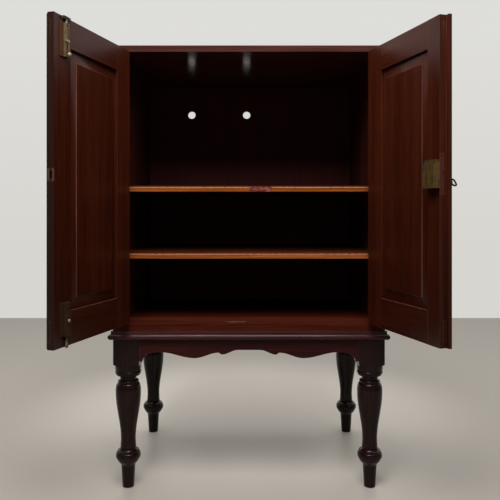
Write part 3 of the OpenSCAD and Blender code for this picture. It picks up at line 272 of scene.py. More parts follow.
def build_mahogany():
    """Ribbons, fibres and pores along Z, as colour, roughness and height."""
    group, given, made = new_group(
        "mahogany_figure",
        [
            ("Vector", "NodeSocketVector", None),
            ("Dark", "NodeSocketColor", (0.02, 0.006, 0.004, 1)),
            ("Middle", "NodeSocketColor", (0.07, 0.02, 0.01, 1)),
            ("Light", "NodeSocketColor", (0.16, 0.05, 0.02, 1)),
            ("Ribbon", "NodeSocketFloat", 1.0),
            ("Gloss", "NodeSocketFloat", 0.25),
        ],
        [("Color", "NodeSocketColor"), ("Roughness", "NodeSocketFloat"),
         ("Height", "NodeSocketFloat")],
    )
    bend = stretched_noise(group, given["Vector"], (7, 7, 1.6), 2)
    drift = {0: bend, 1: (0.03, 0.03, 0), 2: given["Vector"]}
    bent = add_node(group, "VectorMath", drift, operation="MULTIPLY_ADD").outputs[0]
    broad = remap(group, stretched_noise(group, bent, (26, 26, 0.8), 1), 0.3, 0.7, -0.22, 0.22)
    narrow = stretched_noise(group, bent, (240, 240, 2.4), 2)
    narrow = remap(group, narrow, 0.25, 0.75, -0.33, 0.33)
    fibre = remap(group, stretched_noise(group, bent, (700, 700, 9), 3), 0.25, 0.75, -0.3, 0.3)
    pore = remap(group, stretched_noise(group, bent, (1500, 1500, 70), 1), 0.60, 0.72)
    cloud = remap(group, stretched_noise(group, given["Vector"], (5, 5, 5), 2), 0.35, 0.7, 0, 0.1)

    ribbons = calculate(group, "ADD", narrow, broad)
    ribbons = calculate(group, "MULTIPLY", ribbons, given["Ribbon"])
    figure = calculate(group, "ADD", calculate(group, "ADD", ribbons, fibre), 0.5)
    deep = blend_colours(group, remap(group, figure, 0.0, 0.5), given["Dark"], given["Middle"])
    full = blend_colours(group, remap(group, figure, 0.5, 1.0), deep, given["Light"])
    half_pore = calculate(group, "MULTIPLY", pore, 0.5)
    feed(group, blend_colours(group, half_pore, full, given["Dark"]), made["Color"])
    rough = calculate(group, "ADD", given["Gloss"], cloud)
    rough = calculate(group, "ADD", rough, calculate(group, "MULTIPLY", fibre, 0.15))
    feed(group, rough, made["Roughness"])
    ripple = calculate(group, "ADD", calculate(group, "MULTIPLY", pore, -0.6), fibre)
    feed(group, ripple, made["Height"])
    return group


mahogany = build_mahogany()
print("mahogany group has", len(mahogany.nodes), "nodes")

# %% [markdown]
# ## Palettes and polishes
# All the wood is one mahogany, but each part has its own age: the doors are the reddest, the stand
# and the legs nearly black. Some palettes also carry painted light: the shelves' front edges are pale,
# partly worn and partly painted light, the moulded top of the stand is lighter and greyer than the
# rest of the stand as a painted sheen, and the pale arrises are partly a painted highlight. So a
# palette gives the dark, middle and light colour of the figure, and a polish says how it shines.
# Gloss is a roughness, coat the weight of a clear lacquer, shine the strength of the reflection,
# where 0.5 is a plain varnish, and ribbon how strongly the figure shows.

# %% Palettes and polishes
palettes = {
    "door": ((0.026, 0.0042, 0.0016), (0.050, 0.0088, 0.0030), (0.082, 0.0170, 0.0058)),
    "carcass": ((0.034, 0.006, 0.0035), (0.066, 0.0135, 0.0075), (0.105, 0.025, 0.013)),
    "low": ((0.0289, 0.0043, 0.0021), (0.0561, 0.0097, 0.0045), (0.0892, 0.0180, 0.0078)),
    # The moulded top is lighter and greyer than the rest of the stand: a painted sheen.
    "step": ((0.024, 0.0065, 0.0058), (0.044, 0.0130, 0.0115), (0.070, 0.022, 0.019)),
    "stand": ((0.015, 0.0026, 0.0024), (0.029, 0.0056, 0.0048), (0.047, 0.0105, 0.0084)),
    "leg": ((0.0054, 0.0011, 0.0009), (0.0098, 0.0021, 0.0017), (0.018, 0.0042, 0.0034)),
    "back": ((0.046, 0.0100, 0.0082), (0.070, 0.0165, 0.0135), (0.092, 0.025, 0.020)),
    "top": ((0.031, 0.0075, 0.0056), (0.060, 0.0165, 0.0122), (0.096, 0.030, 0.021)),
    "shelf": ((0.0165, 0.0030, 0.0010), (0.0341, 0.0065, 0.0020), (0.0550, 0.0120, 0.0036)),
    # Pale shelf front edges: partly worn, partly painted light.
    "rubbed_lit_edge": ((0.15, 0.031, 0.005), (0.26, 0.066, 0.012), (0.37, 0.110, 0.026)),
    # Arrises: partly worn polish, partly a painted highlight.
    "worn_highlit": ((0.05, 0.015, 0.010), (0.10, 0.037, 0.025), (0.19, 0.083, 0.060)),
    "bare": ((0.10, 0.05, 0.025), (0.2, 0.1, 0.05), (0.3, 0.16, 0.08)),
}
polishes = {
    "bright": {"gloss": 0.11, "coat": 0.1, "shine": 0.27, "ribbon": 1.0},
    "full": {"gloss": 0.28, "coat": 0.04, "shine": 0.2, "ribbon": 0.7},
    "thin": {"gloss": 0.45, "coat": 0.0, "shine": 0.15, "ribbon": 1.0},
    "stand": {"gloss": 0.26, "coat": 0.02, "shine": 0.1, "ribbon": 1.0},
    "turned": {"gloss": 0.08, "coat": 0.03, "shine": 0.17, "ribbon": 0.7},
    "moulded": {"gloss": 0.06, "coat": 0.0, "shine": 0.14, "ribbon": 1.0},
    "inside": {"gloss": 0.34, "coat": 0.0, "shine": 0.02, "ribbon": 1.0},
    "worn_highlit": {"gloss": 0.4, "coat": 0.06, "shine": 0.3, "ribbon": 1.0},
    "none": {"gloss": 0.6, "coat": 0.0, "shine": 0.06, "ribbon": 1.0},
    "plain": {"gloss": 0.6, "coat": 0.0, "shine": 0.06, "ribbon": 0.35},
}
grain_relief = 0.03 * mm
print(len(palettes), "palettes and", len(polishes), "polishes")

# %% [markdown]
# ## Which way the grain runs
# Stiles, panels, sides and legs have upright grain, and boards and rails have it lengthwise. The
# doors stand open, so their rails' grain is turned with them: the opening angle is in the frame,
# because each door's joint range starts at closed.

# %% Wood finishes
def open_angle(joint_name):
    """How far a door stands open at rest, from the lower end of its joint's range."""
    joint = next(j for j in frame["joints"] if j["name"] == joint_name)
    return math.radians(-joint["range_deg"][0])


def grain_turn(way):
    """Turns coordinates so that the grain lies on Z: way is 'up' or an angle in the floor plane."""
    if way == "up":
        return (0, 0, 0)
    turn = Matrix.Rotation(-math.pi / 2, 3, "Y") @ Matrix.Rotation(-way, 3, "Z")
    return tuple(turn.to_euler())


def wood_figure(tree, vector, palette, gloss, ribbon):
    """The mahogany group, placed in a material with a palette of its own."""
    inputs = {"Vector": vector, "Gloss": gloss, "Ribbon": ribbon}
    inputs.update(zip(("Dark", "Middle", "Light"), palettes[palette]))
    return add_node(tree, "Group", inputs, node_tree=mahogany)


def polished_wood(name, palette, way, shift, polish):
    """A polished board: the figure of a palette under a thin clear coat."""
    made, tree, shader = new_finish(name)
    look = polishes[polish]
    place = {
        "Vector": add_node(tree, "TexCoord", {}).outputs["Object"],
        "Location": (shift, shift * 1.7, shift * 2.3),
        "Rotation": grain_turn(way),
    }
    along_grain = add_node(tree, "Mapping", place).outputs["Vector"]
    figure = wood_figure(tree, along_grain, palette, look["gloss"], look["ribbon"]).outputs
    bump = add_node(tree, "Bump", {"Distance": grain_relief, "Height": figure["Height"]})
    feed(tree, figure["Color"], shader.inputs["Base Color"])
    feed(tree, figure["Roughness"], shader.inputs["Roughness"])
    feed(tree, bump.outputs["Normal"], shader.inputs["Normal"])
    feed(tree, look["shine"], shader.inputs["Specular IOR Level"])
    feed(tree, look["coat"], shader.inputs["Coat Weight"])
    feed(tree, 0.1, shader.inputs["Coat Roughness"])
    return made


left_open = open_angle("left_door_hinge")
right_open = open_angle("right_door_hinge")
print("doors open", [round(math.degrees(angle)) for angle in (left_open, right_open)], "degrees")

# %% [markdown]
# ## Softened boards
# A sawn and planed board has its arrises eased with a stroke of the plane, and a hundred years of
# hands and dusters wear the polish off just there. Painting the wear by hand would take long and
# would miss the edges inside a joint. So each board is a copy of its CAD piece, with its loose
# triangles joined and its flat faces merged. A Bevel modifier then eases every edge that is sharper
# than thirty degrees, and gives the narrow new faces a finish of their own, lighter and duller. Its
# lighter colour is partly the worn polish and partly a painted highlight along the arris.

# %% Softened copies
body_of_node = {node: body for body, nodes in frame["record"]["behaviour"]["bodies"].items()
                for node in nodes}


def points_of(mesh, kind="co"):
    """A mesh's points, or with kind 'normal' the normals at its points, as rows of an array."""
    values = np.empty(len(mesh.vertices) * 3)
    mesh.vertices.foreach_get(kind, values)
    return values.reshape(-1, 3)


def finish_piece(made, node):
    """Rides on the body of the CAD piece and stands in for it."""
    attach(made, body_of_node[node])
    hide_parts(node)


def merged_copy(node):
    """The CAD piece's mesh with its loose triangles joined and its flat faces merged."""
    mesh = frame["nodes"][node].data.copy()
    work = bmesh.new()
    work.from_mesh(mesh)
    bmesh.ops.remove_doubles(work, verts=work.verts, dist=1e-6)
    flat = math.radians(0.5)
    bmesh.ops.dissolve_limit(work, angle_limit=flat, verts=work.verts, edges=work.edges)
    work.to_mesh(mesh)
    work.free()
    return mesh


def eased_piece(node, mesh, width, finish, arris_finish):
    """Stands in for a CAD piece: its merged mesh with eased edges and smooth curved faces."""
    made = mesh_object("eased_" + node, mesh, finish, arris_finish)
    bevel = made.modifiers.new("eased_edges", "BEVEL")
    bevel.width = width
    bevel.segments = 2
    bevel.limit_method = "ANGLE"
    bevel.angle_limit = sharp_angle
    bevel.use_clamp_overlap = True
    bevel.harden_normals = True
    bevel.material = 1
    finish_piece(made, node)


# %% [markdown]
# ## Boards of the carcass and the stand
# The boards of one old cabinet have aged apart: its top kept most of its polish, the floor inside
# is dark and dull, the back is plain thin wood, and the stand is almost black. One finish for all
# of them would look like plastic. So each board names its palette, its polish and the way of its
# grain, and a shift of the coordinates gives each its own stretch of figure. The back has two round
# holes for cables, whose rims are drawn in to the width that the photograph shows.

# %% Boards of the carcass and the stand
ease = 0.5 * mm
first_shift, shift_step = 0.11, 0.143
hole_radius, hole_middles_x = 12.5 * mm, (-168 * mm, -9 * mm)
drawn_in = 0.87
wood_of = {
    "side_left": ("carcass", "thin", "up"),
    "side_right": ("carcass", "thin", "up"),
    "top_board": ("top", "bright", 0.0),
    "bottom_board": ("low", "inside", 0.0),
    "back_panel": ("back", "plain", "up"),
    "front_apron": ("stand", "stand", 0.0),
    "rear_rail": ("stand", "stand", 0.0),
    "stand_top": ("step", "moulded", 0.0),
    "side_rail_left": ("stand", "stand", math.pi / 2),
    "side_rail_right": ("stand", "stand", math.pi / 2),
    "glue_blocks": ("bare", "none", 0.0),
}


def draw_in_holes(mesh):
    """Moves the rims of the cable holes to drawn_in of their radius."""
    points = points_of(mesh)
    for middle_x in hole_middles_x:
        near = np.abs(points[:, 0] - middle_x) < 1.1 * hole_radius
        middle = np.array((middle_x, np.median(points[near, 2])))
        offset = points[:, ::2] - middle
        rim = near & (np.abs(np.linalg.norm(offset, axis=1) - hole_radius) < 0.5 * mm)
        points[rim, ::2] = middle + offset[rim] * drawn_in
    mesh.vertices.foreach_set("co", points.ravel())


for number, (node, (palette, polish, way)) in enumerate(wood_of.items()):
    shift = first_shift + shift_step * number
    finish = polished_wood(node + "_wood", palette, way, shift, polish)
    # The arris finish is partly worn polish and partly a painted highlight.
    worn_highlit = polished_wood(node + "_arris", "worn_highlit", way, shift, "worn_highlit")
    board = merged_copy(node)
    if node == "back_panel":
        draw_in_holes(board)
    # The bottom board's ease is twice as wide, so the pale line on its top front arris, a painted highlight, is
    # wider.
    eased_piece(node, board, 2 * ease if node == "bottom_board" else ease, finish, worn_highlit)
print("eased", len(wood_of), "boards")

# %% [markdown]
# ## Shelves with pale front edges
# The shelves' front edges glow orange, partly from lost polish and partly as painted light where they
# face the lamps, while the faces behind stay dark. Years of use rounded over the upper corner, which
# keeps the dark colour as a painted reflection of the dark inside, and a paler line under it is a
# painted highlight. The lock has bruised the notch that clears it, and toward their ends the shelves
# darken with painted shade. A separate strip of wood would show a glue line that isn't there. So one
# board carries all of this: a bevel in the mesh rounds the corner, and a point's place on the board
# chooses between the colours.

# %% Rounded shelf edges
def round_front(mesh, radius):
    """Rounds over the upper front edge of a board's mesh."""
    front, top = points_of(mesh)[:, 1].min(), points_of(mesh)[:, 2].max()
    work = bmesh.new()
    work.from_mesh(mesh)
    edges = [e for e in work.edges
             if all(abs(v.co.z - top) < 1e-5 and abs(v.co.y - front) < 1e-5 for v in e.verts)]
    bmesh.ops.bevel(work, geom=edges, offset=radius, offset_type="OFFSET", segments=6,
                    profile=0.5, affect="EDGES", clamp_overlap=True)
    work.to_mesh(mesh)
    work.free()


shelf_rounds = {"upper_shelf": 3.6 * mm, "lower_shelf": 5.0 * mm}
print("shelves are rounded by", [round(radius / mm, 1) for radius in shelf_rounds.values()], "mm")


# %% A bruised notch
notch_depths = (4 * mm, 30 * mm)
bruised = ((0.085, 0.017, 0.011), (0.26, 0.075, 0.050))


def band(tree, value, low, high, fade):
    """One from low to high, and nothing from a distance of fade outside them."""
    over = remap(tree, value, low - fade, low)
    return calculate(tree, "MULTIPLY", over, remap(tree, value, high, high + fade, 1.0, 0.0))


def bruise_notch(tree, axes, corners, flat_top, blotches, wood):
    """Blends bruised colours into the wood of a board's notch, if its corners show one."""
    behind_front = corners[:, 1] - corners[:, 1].min()
    notch = corners[(behind_front > notch_depths[0]) & (behind_front < notch_depths[1])]
    if not len(notch):
        return wood
    width = band(tree, axes["X"], notch[:, 0].min(), notch[:, 0].max(), 0.1 * mm)
    back = notch[:, 1].max() + 0.5 * mm
    near = remap(tree, axes["Y"], back, back + 0.5 * mm, 1.0, 0.0)
    under = remap(tree, axes["Z"], flat_top + 1 * mm, flat_top + 2 * mm, 1.0, 0.0)
    inside = calculate(tree, "MULTIPLY", width, calculate(tree, "MULTIPLY", near, under))
    return blend_colours(tree, inside, wood, blend_colours(tree, blotches, *bruised))


print("a notch lies", [round(depth / mm) for depth in notch_depths], "mm behind the front")

# %% Shelves
lipping_depth, lipping_fade = 3.0 * mm, 2.0 * mm
lipping_gloss, lipping_ribbon = 0.5, 1.2
# The paler line under the round is a painted highlight.
painted_highlight_line = ((0.42, 0.17, 0.085), (0.52, 0.24, 0.13))
# Toward the shelf ends: painted shade.
end_shade_span, end_shade_share, painted_end_shade = (273 * mm, 286 * mm), 0.65, (0.060, 0.012, 0.005)


def object_place(tree):
    """The Object coordinates that a finish already reads."""
    return next(node for node in tree.nodes if node.type == "TEX_COORD").outputs["Object"]


def figure_of(tree):
    """The wood or metal group that a finish was made with."""
    return next(node for node in tree.nodes if node.type == "GROUP")


def lipped_shelf(node, shift, radius):
    """Pale, partly painted light, on the flat front edge, dark on the round above it as a painted reflection, and
    a painted highlight line between.
    """
    finish = polished_wood(node + "_wood", "shelf", 0.0, shift, "inside")
    tree = finish.node_tree
    dark = figure_of(tree)
    along_grain = dark.inputs["Vector"].links[0].from_socket
    # The pale edge: partly worn, partly painted light.
    pale = wood_figure(tree, along_grain, "rubbed_lit_edge", lipping_gloss, lipping_ribbon).outputs["Color"]
    axes = add_node(tree, "SeparateXYZ", {0: object_place(tree)}).outputs
    fine = stretched_noise(tree, object_place(tree), (120, 300, 300), 3)
    blotches = remap(tree, fine, 0.4, 0.62)

    corners = points_of(frame["nodes"][node].data)
    back_of_lipping = corners[:, 1].min() + lipping_depth
    flat_top = corners[:, 2].max() - radius
    # A painted highlight: a paler line just under the round.
    line = remap(tree, axes["Z"], flat_top - 2.2 * mm, flat_top - 1 * mm)
    line = calculate(tree, "MULTIPLY", line, remap(tree, fine, 0.3, 0.5, 0.45, 1.0))
    edge = blend_colours(tree, line, pale, blend_colours(tree, blotches, *painted_highlight_line))
    board = bruise_notch(tree, axes, corners, flat_top, blotches, dark.outputs["Color"])
    behind = remap(tree, axes["Y"], back_of_lipping, back_of_lipping + lipping_fade)
    # Above the flat edge the round keeps the dark board colour, a painted reflection of the dark inside.
    above = remap(tree, axes["Z"], flat_top - 0.2 * mm, flat_top + 0.6 * mm)
    mixed = blend_colours(tree, calculate(tree, "MAXIMUM", behind, above), edge, board)
    # Toward the ends, painted shade darkens the shelf.
    outward = calculate(tree, "ABSOLUTE", axes["X"], 0.0)
    mixed = blend_colours(tree, remap(tree, outward, *end_shade_span, 0.0, end_shade_share), mixed, painted_end_shade)
    feed(tree, mixed, tree.nodes["Principled BSDF"].inputs["Base Color"])

    mesh = merged_copy(node)
    round_front(mesh, radius)
    eased_piece(node, mesh, ease, finish, finish)


for node, shift in (("upper_shelf", 0.83), ("lower_shelf", 0.97)):
    lipped_shelf(node, shift, shelf_rounds[node])
print("shelves have pale edges", round(lipping_depth / mm, 1), "mm deep")

# %% [markdown]
# ## Doors
# Each door is a frame of two stiles and two rails round a raised and fielded panel. The stiles and
# the panel have upright grain. A rail's grain lies along it, so it turns with the open door. Each door
# grows darker toward the bottom, some pieces more than others, which is painted shade: the light falls
# off down the door. The left door's edge, where the tenons show their end grain, is darker as well. A
# palette of its own for each piece would make hard steps between them. So a dark colour is blended
# in by how far a point lies along a direction.

# %% Darkening along a direction
up, down = (0.0, 0.0, 1.0), (0.0, 0.0, -1.0)
left_outward = (math.cos(left_open), -math.sin(left_open), 0.0)
left_inward = (math.sin(left_open), math.cos(left_open), 0.0)


def reach(node, direction):
    """The least and the greatest distance of a CAD piece's points along direction."""
    along = points_of(frame["nodes"][node].data) @ np.array(direction)
    return float(along.min()), float(along.max())


def distance_along(tree, direction):
    """How far a point lies along a direction of length one: their dot product."""
    dot = {0: object_place(tree), 1: direction}
    return add_node(tree, "VectorMath", dot, operation="DOT_PRODUCT").outputs["Value"]


def darken_along(finish, direction, start, end, colour, shares):
    """Blends a colour into a board's own, by shares[0] at start up to shares[1] at end."""
    tree = finish.node_tree
    base = tree.nodes["Principled BSDF"].inputs["Base Color"]
    share = remap(tree, distance_along(tree, direction), start, end, *shares)
    feed(tree, blend_colours(tree, share, base.links[0].from_socket, colour), base)


left_edge = reach("left_closing_stile", left_outward)[1]
print("the left door's edge lies", round(left_edge, 4), "m out along the door")

# %% Doors
# The second number is the share of painted shade that each piece starts with.
door_pieces = {
    "hinge_stile": ("up", 0.0),
    "closing_stile": ("up", 0.18),
    "top_rail": ("rail", 0.0),
    "bottom_rail": ("rail", 0.15),
    "panel": ("up", 0.1),
}
rail_ways = {"left": -left_open, "right": math.pi + right_open}
door_shifts, door_shift_step = {"left": 2.1, "right": 3.3}, 0.31
# Painted shade: the doors darken from the first height down to the second, toward their foot.
unshaded_down_to, dark_from, foot_share = 0.82, 0.42, 0.34
painted_foot_shade = (0.010, 0.0020, 0.0010)
edge_dark, edge_dark_depth, edge_dark_share = (0.012, 0.006, 0.004), 1.5 * mm, 0.75
darkened_edge_pieces = ("left_closing_stile", "left_top_rail", "left_bottom_rail")

for side, rail_way in rail_ways.items():
    for number, (piece, (way, piece_shade)) in enumerate(door_pieces.items()):
        node = side + "_" + piece
        shift = door_shifts[side] + door_shift_step * number
        along = rail_way if way == "rail" else way
        finish = polished_wood(node + "_wood", "door", along, shift, "full")
        # The arris finish is partly worn polish and partly a painted highlight.
        worn_highlit = polished_wood(node + "_arris", "worn_highlit", along, shift, "worn_highlit")
        # Painted shade toward the door's foot.
        shares = (piece_shade, piece_shade + foot_share)
        darken_along(finish, down, -unshaded_down_to, -dark_from, painted_foot_shade, shares)
        # The left door's edge is made darker.
        if node in darkened_edge_pieces:
            edge = (left_edge - edge_dark_depth, left_edge)
            darken_along(finish, left_outward, *edge, edge_dark, (0.0, edge_dark_share))
        eased_piece(node, merged_copy(node), ease, finish, worn_highlit)
print("eased", 2 * len(door_pieces), "door pieces")

# %% [markdown]
# ## Turned legs
# A leg is a square block that a lathe has cut to a round profile below. A Spin or Screw modifier
# would make the round part only. Here one surface makes both: at each height and angle, the radius
# is the smaller of the square's and the profile's, which is just what the turner's gouge leaves,
# down to the rounded shoulders under the block.

# %% The leg's profile
steps = np.linspace(0, 1, 15)[1:]


def ogee(r0, z0, r1, z1):
    """Radius r0 + (r1 - r0)(1 - cos 180t)/2 at height z0 + (z1 - z0)t."""
    radius = r0 + (r1 - r0) * (1 - np.cos(np.pi * steps)) / 2
    return np.column_stack((radius, z0 + (z1 - z0) * steps))


def out_then_up(r0, z0, r1, z1):
    """A quarter round: radius r0 + (r1 - r0) sin a at height z0 + (z1 - z0)(1 - cos a)."""
    a = steps * np.pi / 2
    return np.column_stack((r0 + (r1 - r0) * np.sin(a), z0 + (z1 - z0) * (1 - np.cos(a))))


def up_then_out(r0, z0, r1, z1):
    """The other quarter round: radius r0 + (r1 - r0)(1 - cos a) at height z0 + (z1 - z0) sin a."""
    a = steps * np.pi / 2
    return np.column_stack((r0 + (r1 - r0) * (1 - np.cos(a)), z0 + (z1 - z0) * np.sin(a)))


def half_bead(r, swell, z0, z1):
    """A half round: radius r + swell sin a at height z0 + (z1 - z0)(1 - cos a)/2."""
    a = steps * np.pi
    return np.column_stack((r + swell * np.sin(a), z0 + (z1 - z0) * (1 - np.cos(a)) / 2))


leg_profile = np.vstack((
    [(0, 0), (12.4, 0), (13, 0.6), (15.8, 48)],
    ogee(15.8, 48, 25, 65), half_bead(25, 3.2, 65, 80),
    [(24.2, 80), (24.2, 83.5)], out_then_up(23.4, 83.5, 17.4, 94),
    ogee(17.4, 94, 16.7, 108), ogee(16.7, 108, 28.7, 218), up_then_out(28.7, 218, 23.4, 237.2),
    [(22.3, 237.6), (22.3, 238.8)], half_bead(22.6, 1.0, 239, 243.6),
    [(22.2, 243.9), (18.2, 245.8), (18.2, 252), (19, 252.5)],
    out_then_up(19, 252.5, 28.3, 259.5), [(27.9, 259.9)], half_bead(28.2, 1.6, 260, 265),
    [(28.3, 265.3), (28.5, 266), (29.6, 268), (30, 279)], out_then_up(30, 279, 41.8, 288),
    [(41.8, 339.5), (41.2, 340), (0, 340)],
)) * mm
print("profile has", len(leg_profile), "points")


# %% Legs
def ring_faces(rows, count, downward=False):
    """Quads between rings of count points, and a fan round a pole at each end.

    Point k of ring j has the number j count + k, and the two poles come after the last ring. Rings
    that go upward give faces that point outwards, and with downward so do rings that go down.
    """
    here = np.arange(count)
    beyond = (here + 1) % count
    row = np.arange(rows - 1)[:, None] * count
    sides = np.stack((row + here, row + beyond, row + count + beyond, row + count + here), axis=-1)
    sides = sides.reshape(-1, 4)
    last = (rows - 1) * count
    pole = np.full(count, rows * count)
    fans = np.vstack((np.column_stack((pole, beyond, here)),
                      np.column_stack((pole + 1, last + here, last + beyond))))
    if downward:
        sides, fans = np.roll(sides[:, ::-1], 1, axis=1), fans[:, ::-1]
    return sides, fans


def turned_block(profile, half, corner, centre, columns=168, crowding=0.35):
    """Radius min(R(z), half / max(|cos a|, |sin a|), corner) round a centre.

    Within each quarter turn, a = 45 degrees times (1 + c) t - c t^3 with the crowding c and t from
    -1 to 1, which crowds the columns toward the block's corners.
    """
    even = np.linspace(-1, 1, columns // 4, endpoint=False)
    quarter = ((1 + crowding) * even - crowding * even**3) * np.pi / 4
    angle = np.concatenate([quarter + turn * np.pi / 2 for turn in range(4)])
    square = half / np.maximum(np.abs(np.cos(angle)), np.abs(np.sin(angle)))
    rings = profile[1:-1]
    radius = np.minimum(np.minimum(rings[:, :1], square), corner)
    body = np.stack((
        centre[0] + radius * np.cos(angle), centre[1] + radius * np.sin(angle),
        np.repeat(rings[:, 1:], len(angle), axis=1)), axis=-1).reshape(-1, 3)
    poles = [(*centre, profile[0, 1]), (*centre, profile[-1, 1])]
    sides, fans = ring_faces(len(rings), len(angle))
    return np.vstack((body, poles)), sides.tolist() + fans.tolist()


leg_half, leg_corner = 29 * mm, 40.4 * mm
leg_x, leg_y = 276 * mm, 186 * mm
leg_shift, leg_shift_step = 1.9, 0.37
legs = [(depth, side) for depth in ("front", "rear") for side in ("left", "right")]
for number, (depth, side) in enumerate(legs):
    node = "leg_" + depth + "_" + side
    centre = (leg_x if side == "right" else -leg_x, leg_y if depth == "rear" else -leg_y)
    shift = leg_shift + leg_shift_step * number
    finish = polished_wood(node + "_wood", "leg", "up", shift, "turned")
    points, faces = turned_block(leg_profile, leg_half, leg_corner, centre)
    leg = mesh_object("turned_" + node, new_mesh("turned_" + node, points, faces), finish)
    finish_piece(leg, node)
print("turned", len(legs), "legs of", len(faces), "faces")

# %% [markdown]
# ## Old brass and iron
# The bolts, the lock and the hinges are brass that was never polished again: it is brown and dull
# in the corners, and still yellow where fingers and the sliding rods rub it. The key is dark iron.
# A plain metal with one colour would look new. So one group mixes a bright and a tarnished colour
# by clouds, specks and fine streaks. A height above the door's face can be given to it as well, so
# that the raised housings come out brighter than the thin plates under them.

# %% The patina group
def build_patina():
    """Clouds, specks and upright streaks of tarnish, less of them where Rubbed is high."""
    group, given, made = new_group(
        "metal_patina",
        [
            ("Vector", "NodeSocketVector", None),
            ("Bright", "NodeSocketColor", (0.5, 0.38, 0.18, 1)),
            ("Tarnished", "NodeSocketColor", (0.1, 0.06, 0.03, 1)),
            ("Tarnish", "NodeSocketFloat", 0.5),
            ("Rubbed", "NodeSocketFloat", 0.0),
            ("Streaks", "NodeSocketFloat", 0.4),
        ],
        [("Color", "NodeSocketColor"), ("Roughness", "NodeSocketFloat"),
         ("Metallic", "NodeSocketFloat"), ("Height", "NodeSocketFloat")],
    )
    vector = given["Vector"]
    clouds = remap(group, stretched_noise(group, vector, (90, 90, 90), 3), 0.3, 0.7, -0.25, 0.25)
    specks = remap(group, stretched_noise(group, vector, (900, 900, 900), 2), 0.5, 0.7, 0.0, 0.3)
    lines = remap(group, stretched_noise(group, vector, (420, 420, 30), 2), 0.35, 0.65, -0.5, 0.5)
    streaks = calculate(group, "MULTIPLY", lines, given["Streaks"])
    dirt = calculate(group, "ADD", calculate(group, "ADD", clouds, specks), streaks)
    dirt = calculate(group, "ADD", dirt, given["Tarnish"])
    share = remap(group, calculate(group, "SUBTRACT", dirt, given["Rubbed"]), 0.0, 1.0)
    feed(group, blend_colours(group, share, given["Bright"], given["Tarnished"]), made["Color"])
    feed(group, remap(group, share, 0.0, 1.0, 0.26, 0.6), made["Roughness"])
    feed(group, remap(group, share, 0.0, 1.0, 0.95, 0.0), made["Metallic"])
    feed(group, share, made["Height"])
    return group


patina = build_patina()
print("patina group has", len(patina.nodes), "nodes")

# %% Metal finishes
# Each metal is its bright and its tarnished colour, how far the tarnish has gone, and the streaks.
metals = {
    "top_bolt_case": ((0.33, 0.255, 0.16), (0.072, 0.029, 0.008), 1.2, 0.3),
    "bottom_bolt_case": ((0.12, 0.066, 0.024), (0.027, 0.0105, 0.0038), 1.3, 0.3),
    "top_bolt_guide": ((0.060, 0.062, 0.040), (0.026, 0.026, 0.017), 0.9, 0.3),
    "top_bolt_rod": ((0.62, 0.50, 0.32), (0.012, 0.007, 0.004), 1.1, 0.2),
    "bottom_bolt_rod": ((0.62, 0.50, 0.32), (0.012, 0.007, 0.004), 1.5, 0.2),
    "lock_cap": ((0.225, 0.145, 0.038), (0.036, 0.018, 0.006), 0.75, 0.9),
    "lock_selvedge": ((0.09, 0.028, 0.016), (0.062, 0.0125, 0.0070), 1.3, 0.1),
    "keyhole_lining": ((0.40, 0.30, 0.18), (0.060, 0.026, 0.009), 0.5, 0.3),
    "keep_plate": ((0.20, 0.125, 0.095), (0.040, 0.017, 0.011), 0.45, 0.3),
    "bolt_socket_plate": ((0.40, 0.30, 0.18), (0.060, 0.026, 0.009), 0.8, 0.3),
    "lock_bolt": ((0.10, 0.05, 0.03), (0.040, 0.014, 0.009), 1.0, 0.3),
    "hinge": ((0.30, 0.20, 0.070), (0.040, 0.020, 0.006), 0.7, 0.2),
    "key": ((0.040, 0.038, 0.036), (0.009, 0.008, 0.007), 0.8, 0.3),
    "door_screw": ((0.075, 0.026, 0.012), (0.036, 0.007, 0.003), 1.2, 0.1),
    "screw": ((0.26, 0.18, 0.09), (0.035, 0.016, 0.008), 0.7, 0.1),
}
metal_relief = 0.03 * mm


def old_metal(name, bright, tarnished, tarnish, streaks):
    """A patinated metal of two colours, with how far the tarnish has gone."""
    made, tree, shader = new_finish(name)
    inputs = {
        "Vector": add_node(tree, "TexCoord", {}).outputs["Object"],
        "Bright": bright,
        "Tarnished": tarnished,
        "Tarnish": tarnish,
        "Streaks": streaks,
    }
    figure = add_node(tree, "Group", inputs, node_tree=patina).outputs
    bump = add_node(tree, "Bump", {"Distance": metal_relief, "Height": figure["Height"]})
    feed(tree, figure["Color"], shader.inputs["Base Color"])
    feed(tree, figure["Roughness"], shader.inputs["Roughness"])
    feed(tree, figure["Metallic"], shader.inputs["Metallic"])
    feed(tree, bump.outputs["Normal"], shader.inputs["Normal"])
    feed(tree, 0.2, shader.inputs["Specular IOR Level"])
    return made


metal_finish = {name: old_metal(name + "_metal", *look) for name, look in metals.items()}
print("made", len(metal_finish), "metals")

# %% Rubbed and tarnished places
soft_edge = 0.3 * mm


def rub_above(finish, direction, level, fade, amount):
    """Adds amount to Rubbed where the distance along direction is over level."""
    tree = finish.node_tree
    rubbed = figure_of(tree).inputs["Rubbed"]
    share = remap(tree, distance_along(tree, direction), level, level + fade, 0.0, amount)
    if rubbed.is_linked:
        share = calculate(tree, "ADD", share, rubbed.links[0].from_socket)
    feed(tree, share, rubbed)


def tarnish_box(finish, spans, amount):
    """Takes amount from Rubbed inside a box; a span is a direction with its low and high end."""
    tree = finish.node_tree
    rubbed = figure_of(tree).inputs["Rubbed"]
    inside = amount
    for direction, low, high in spans:
        along = distance_along(tree, direction)
        share = band(tree, along, low + soft_edge, high - soft_edge, 2 * soft_edge)
        inside = calculate(tree, "MULTIPLY", inside, share)
    feed(tree, calculate(tree, "SUBTRACT", rubbed.links[0].from_socket, inside), rubbed)


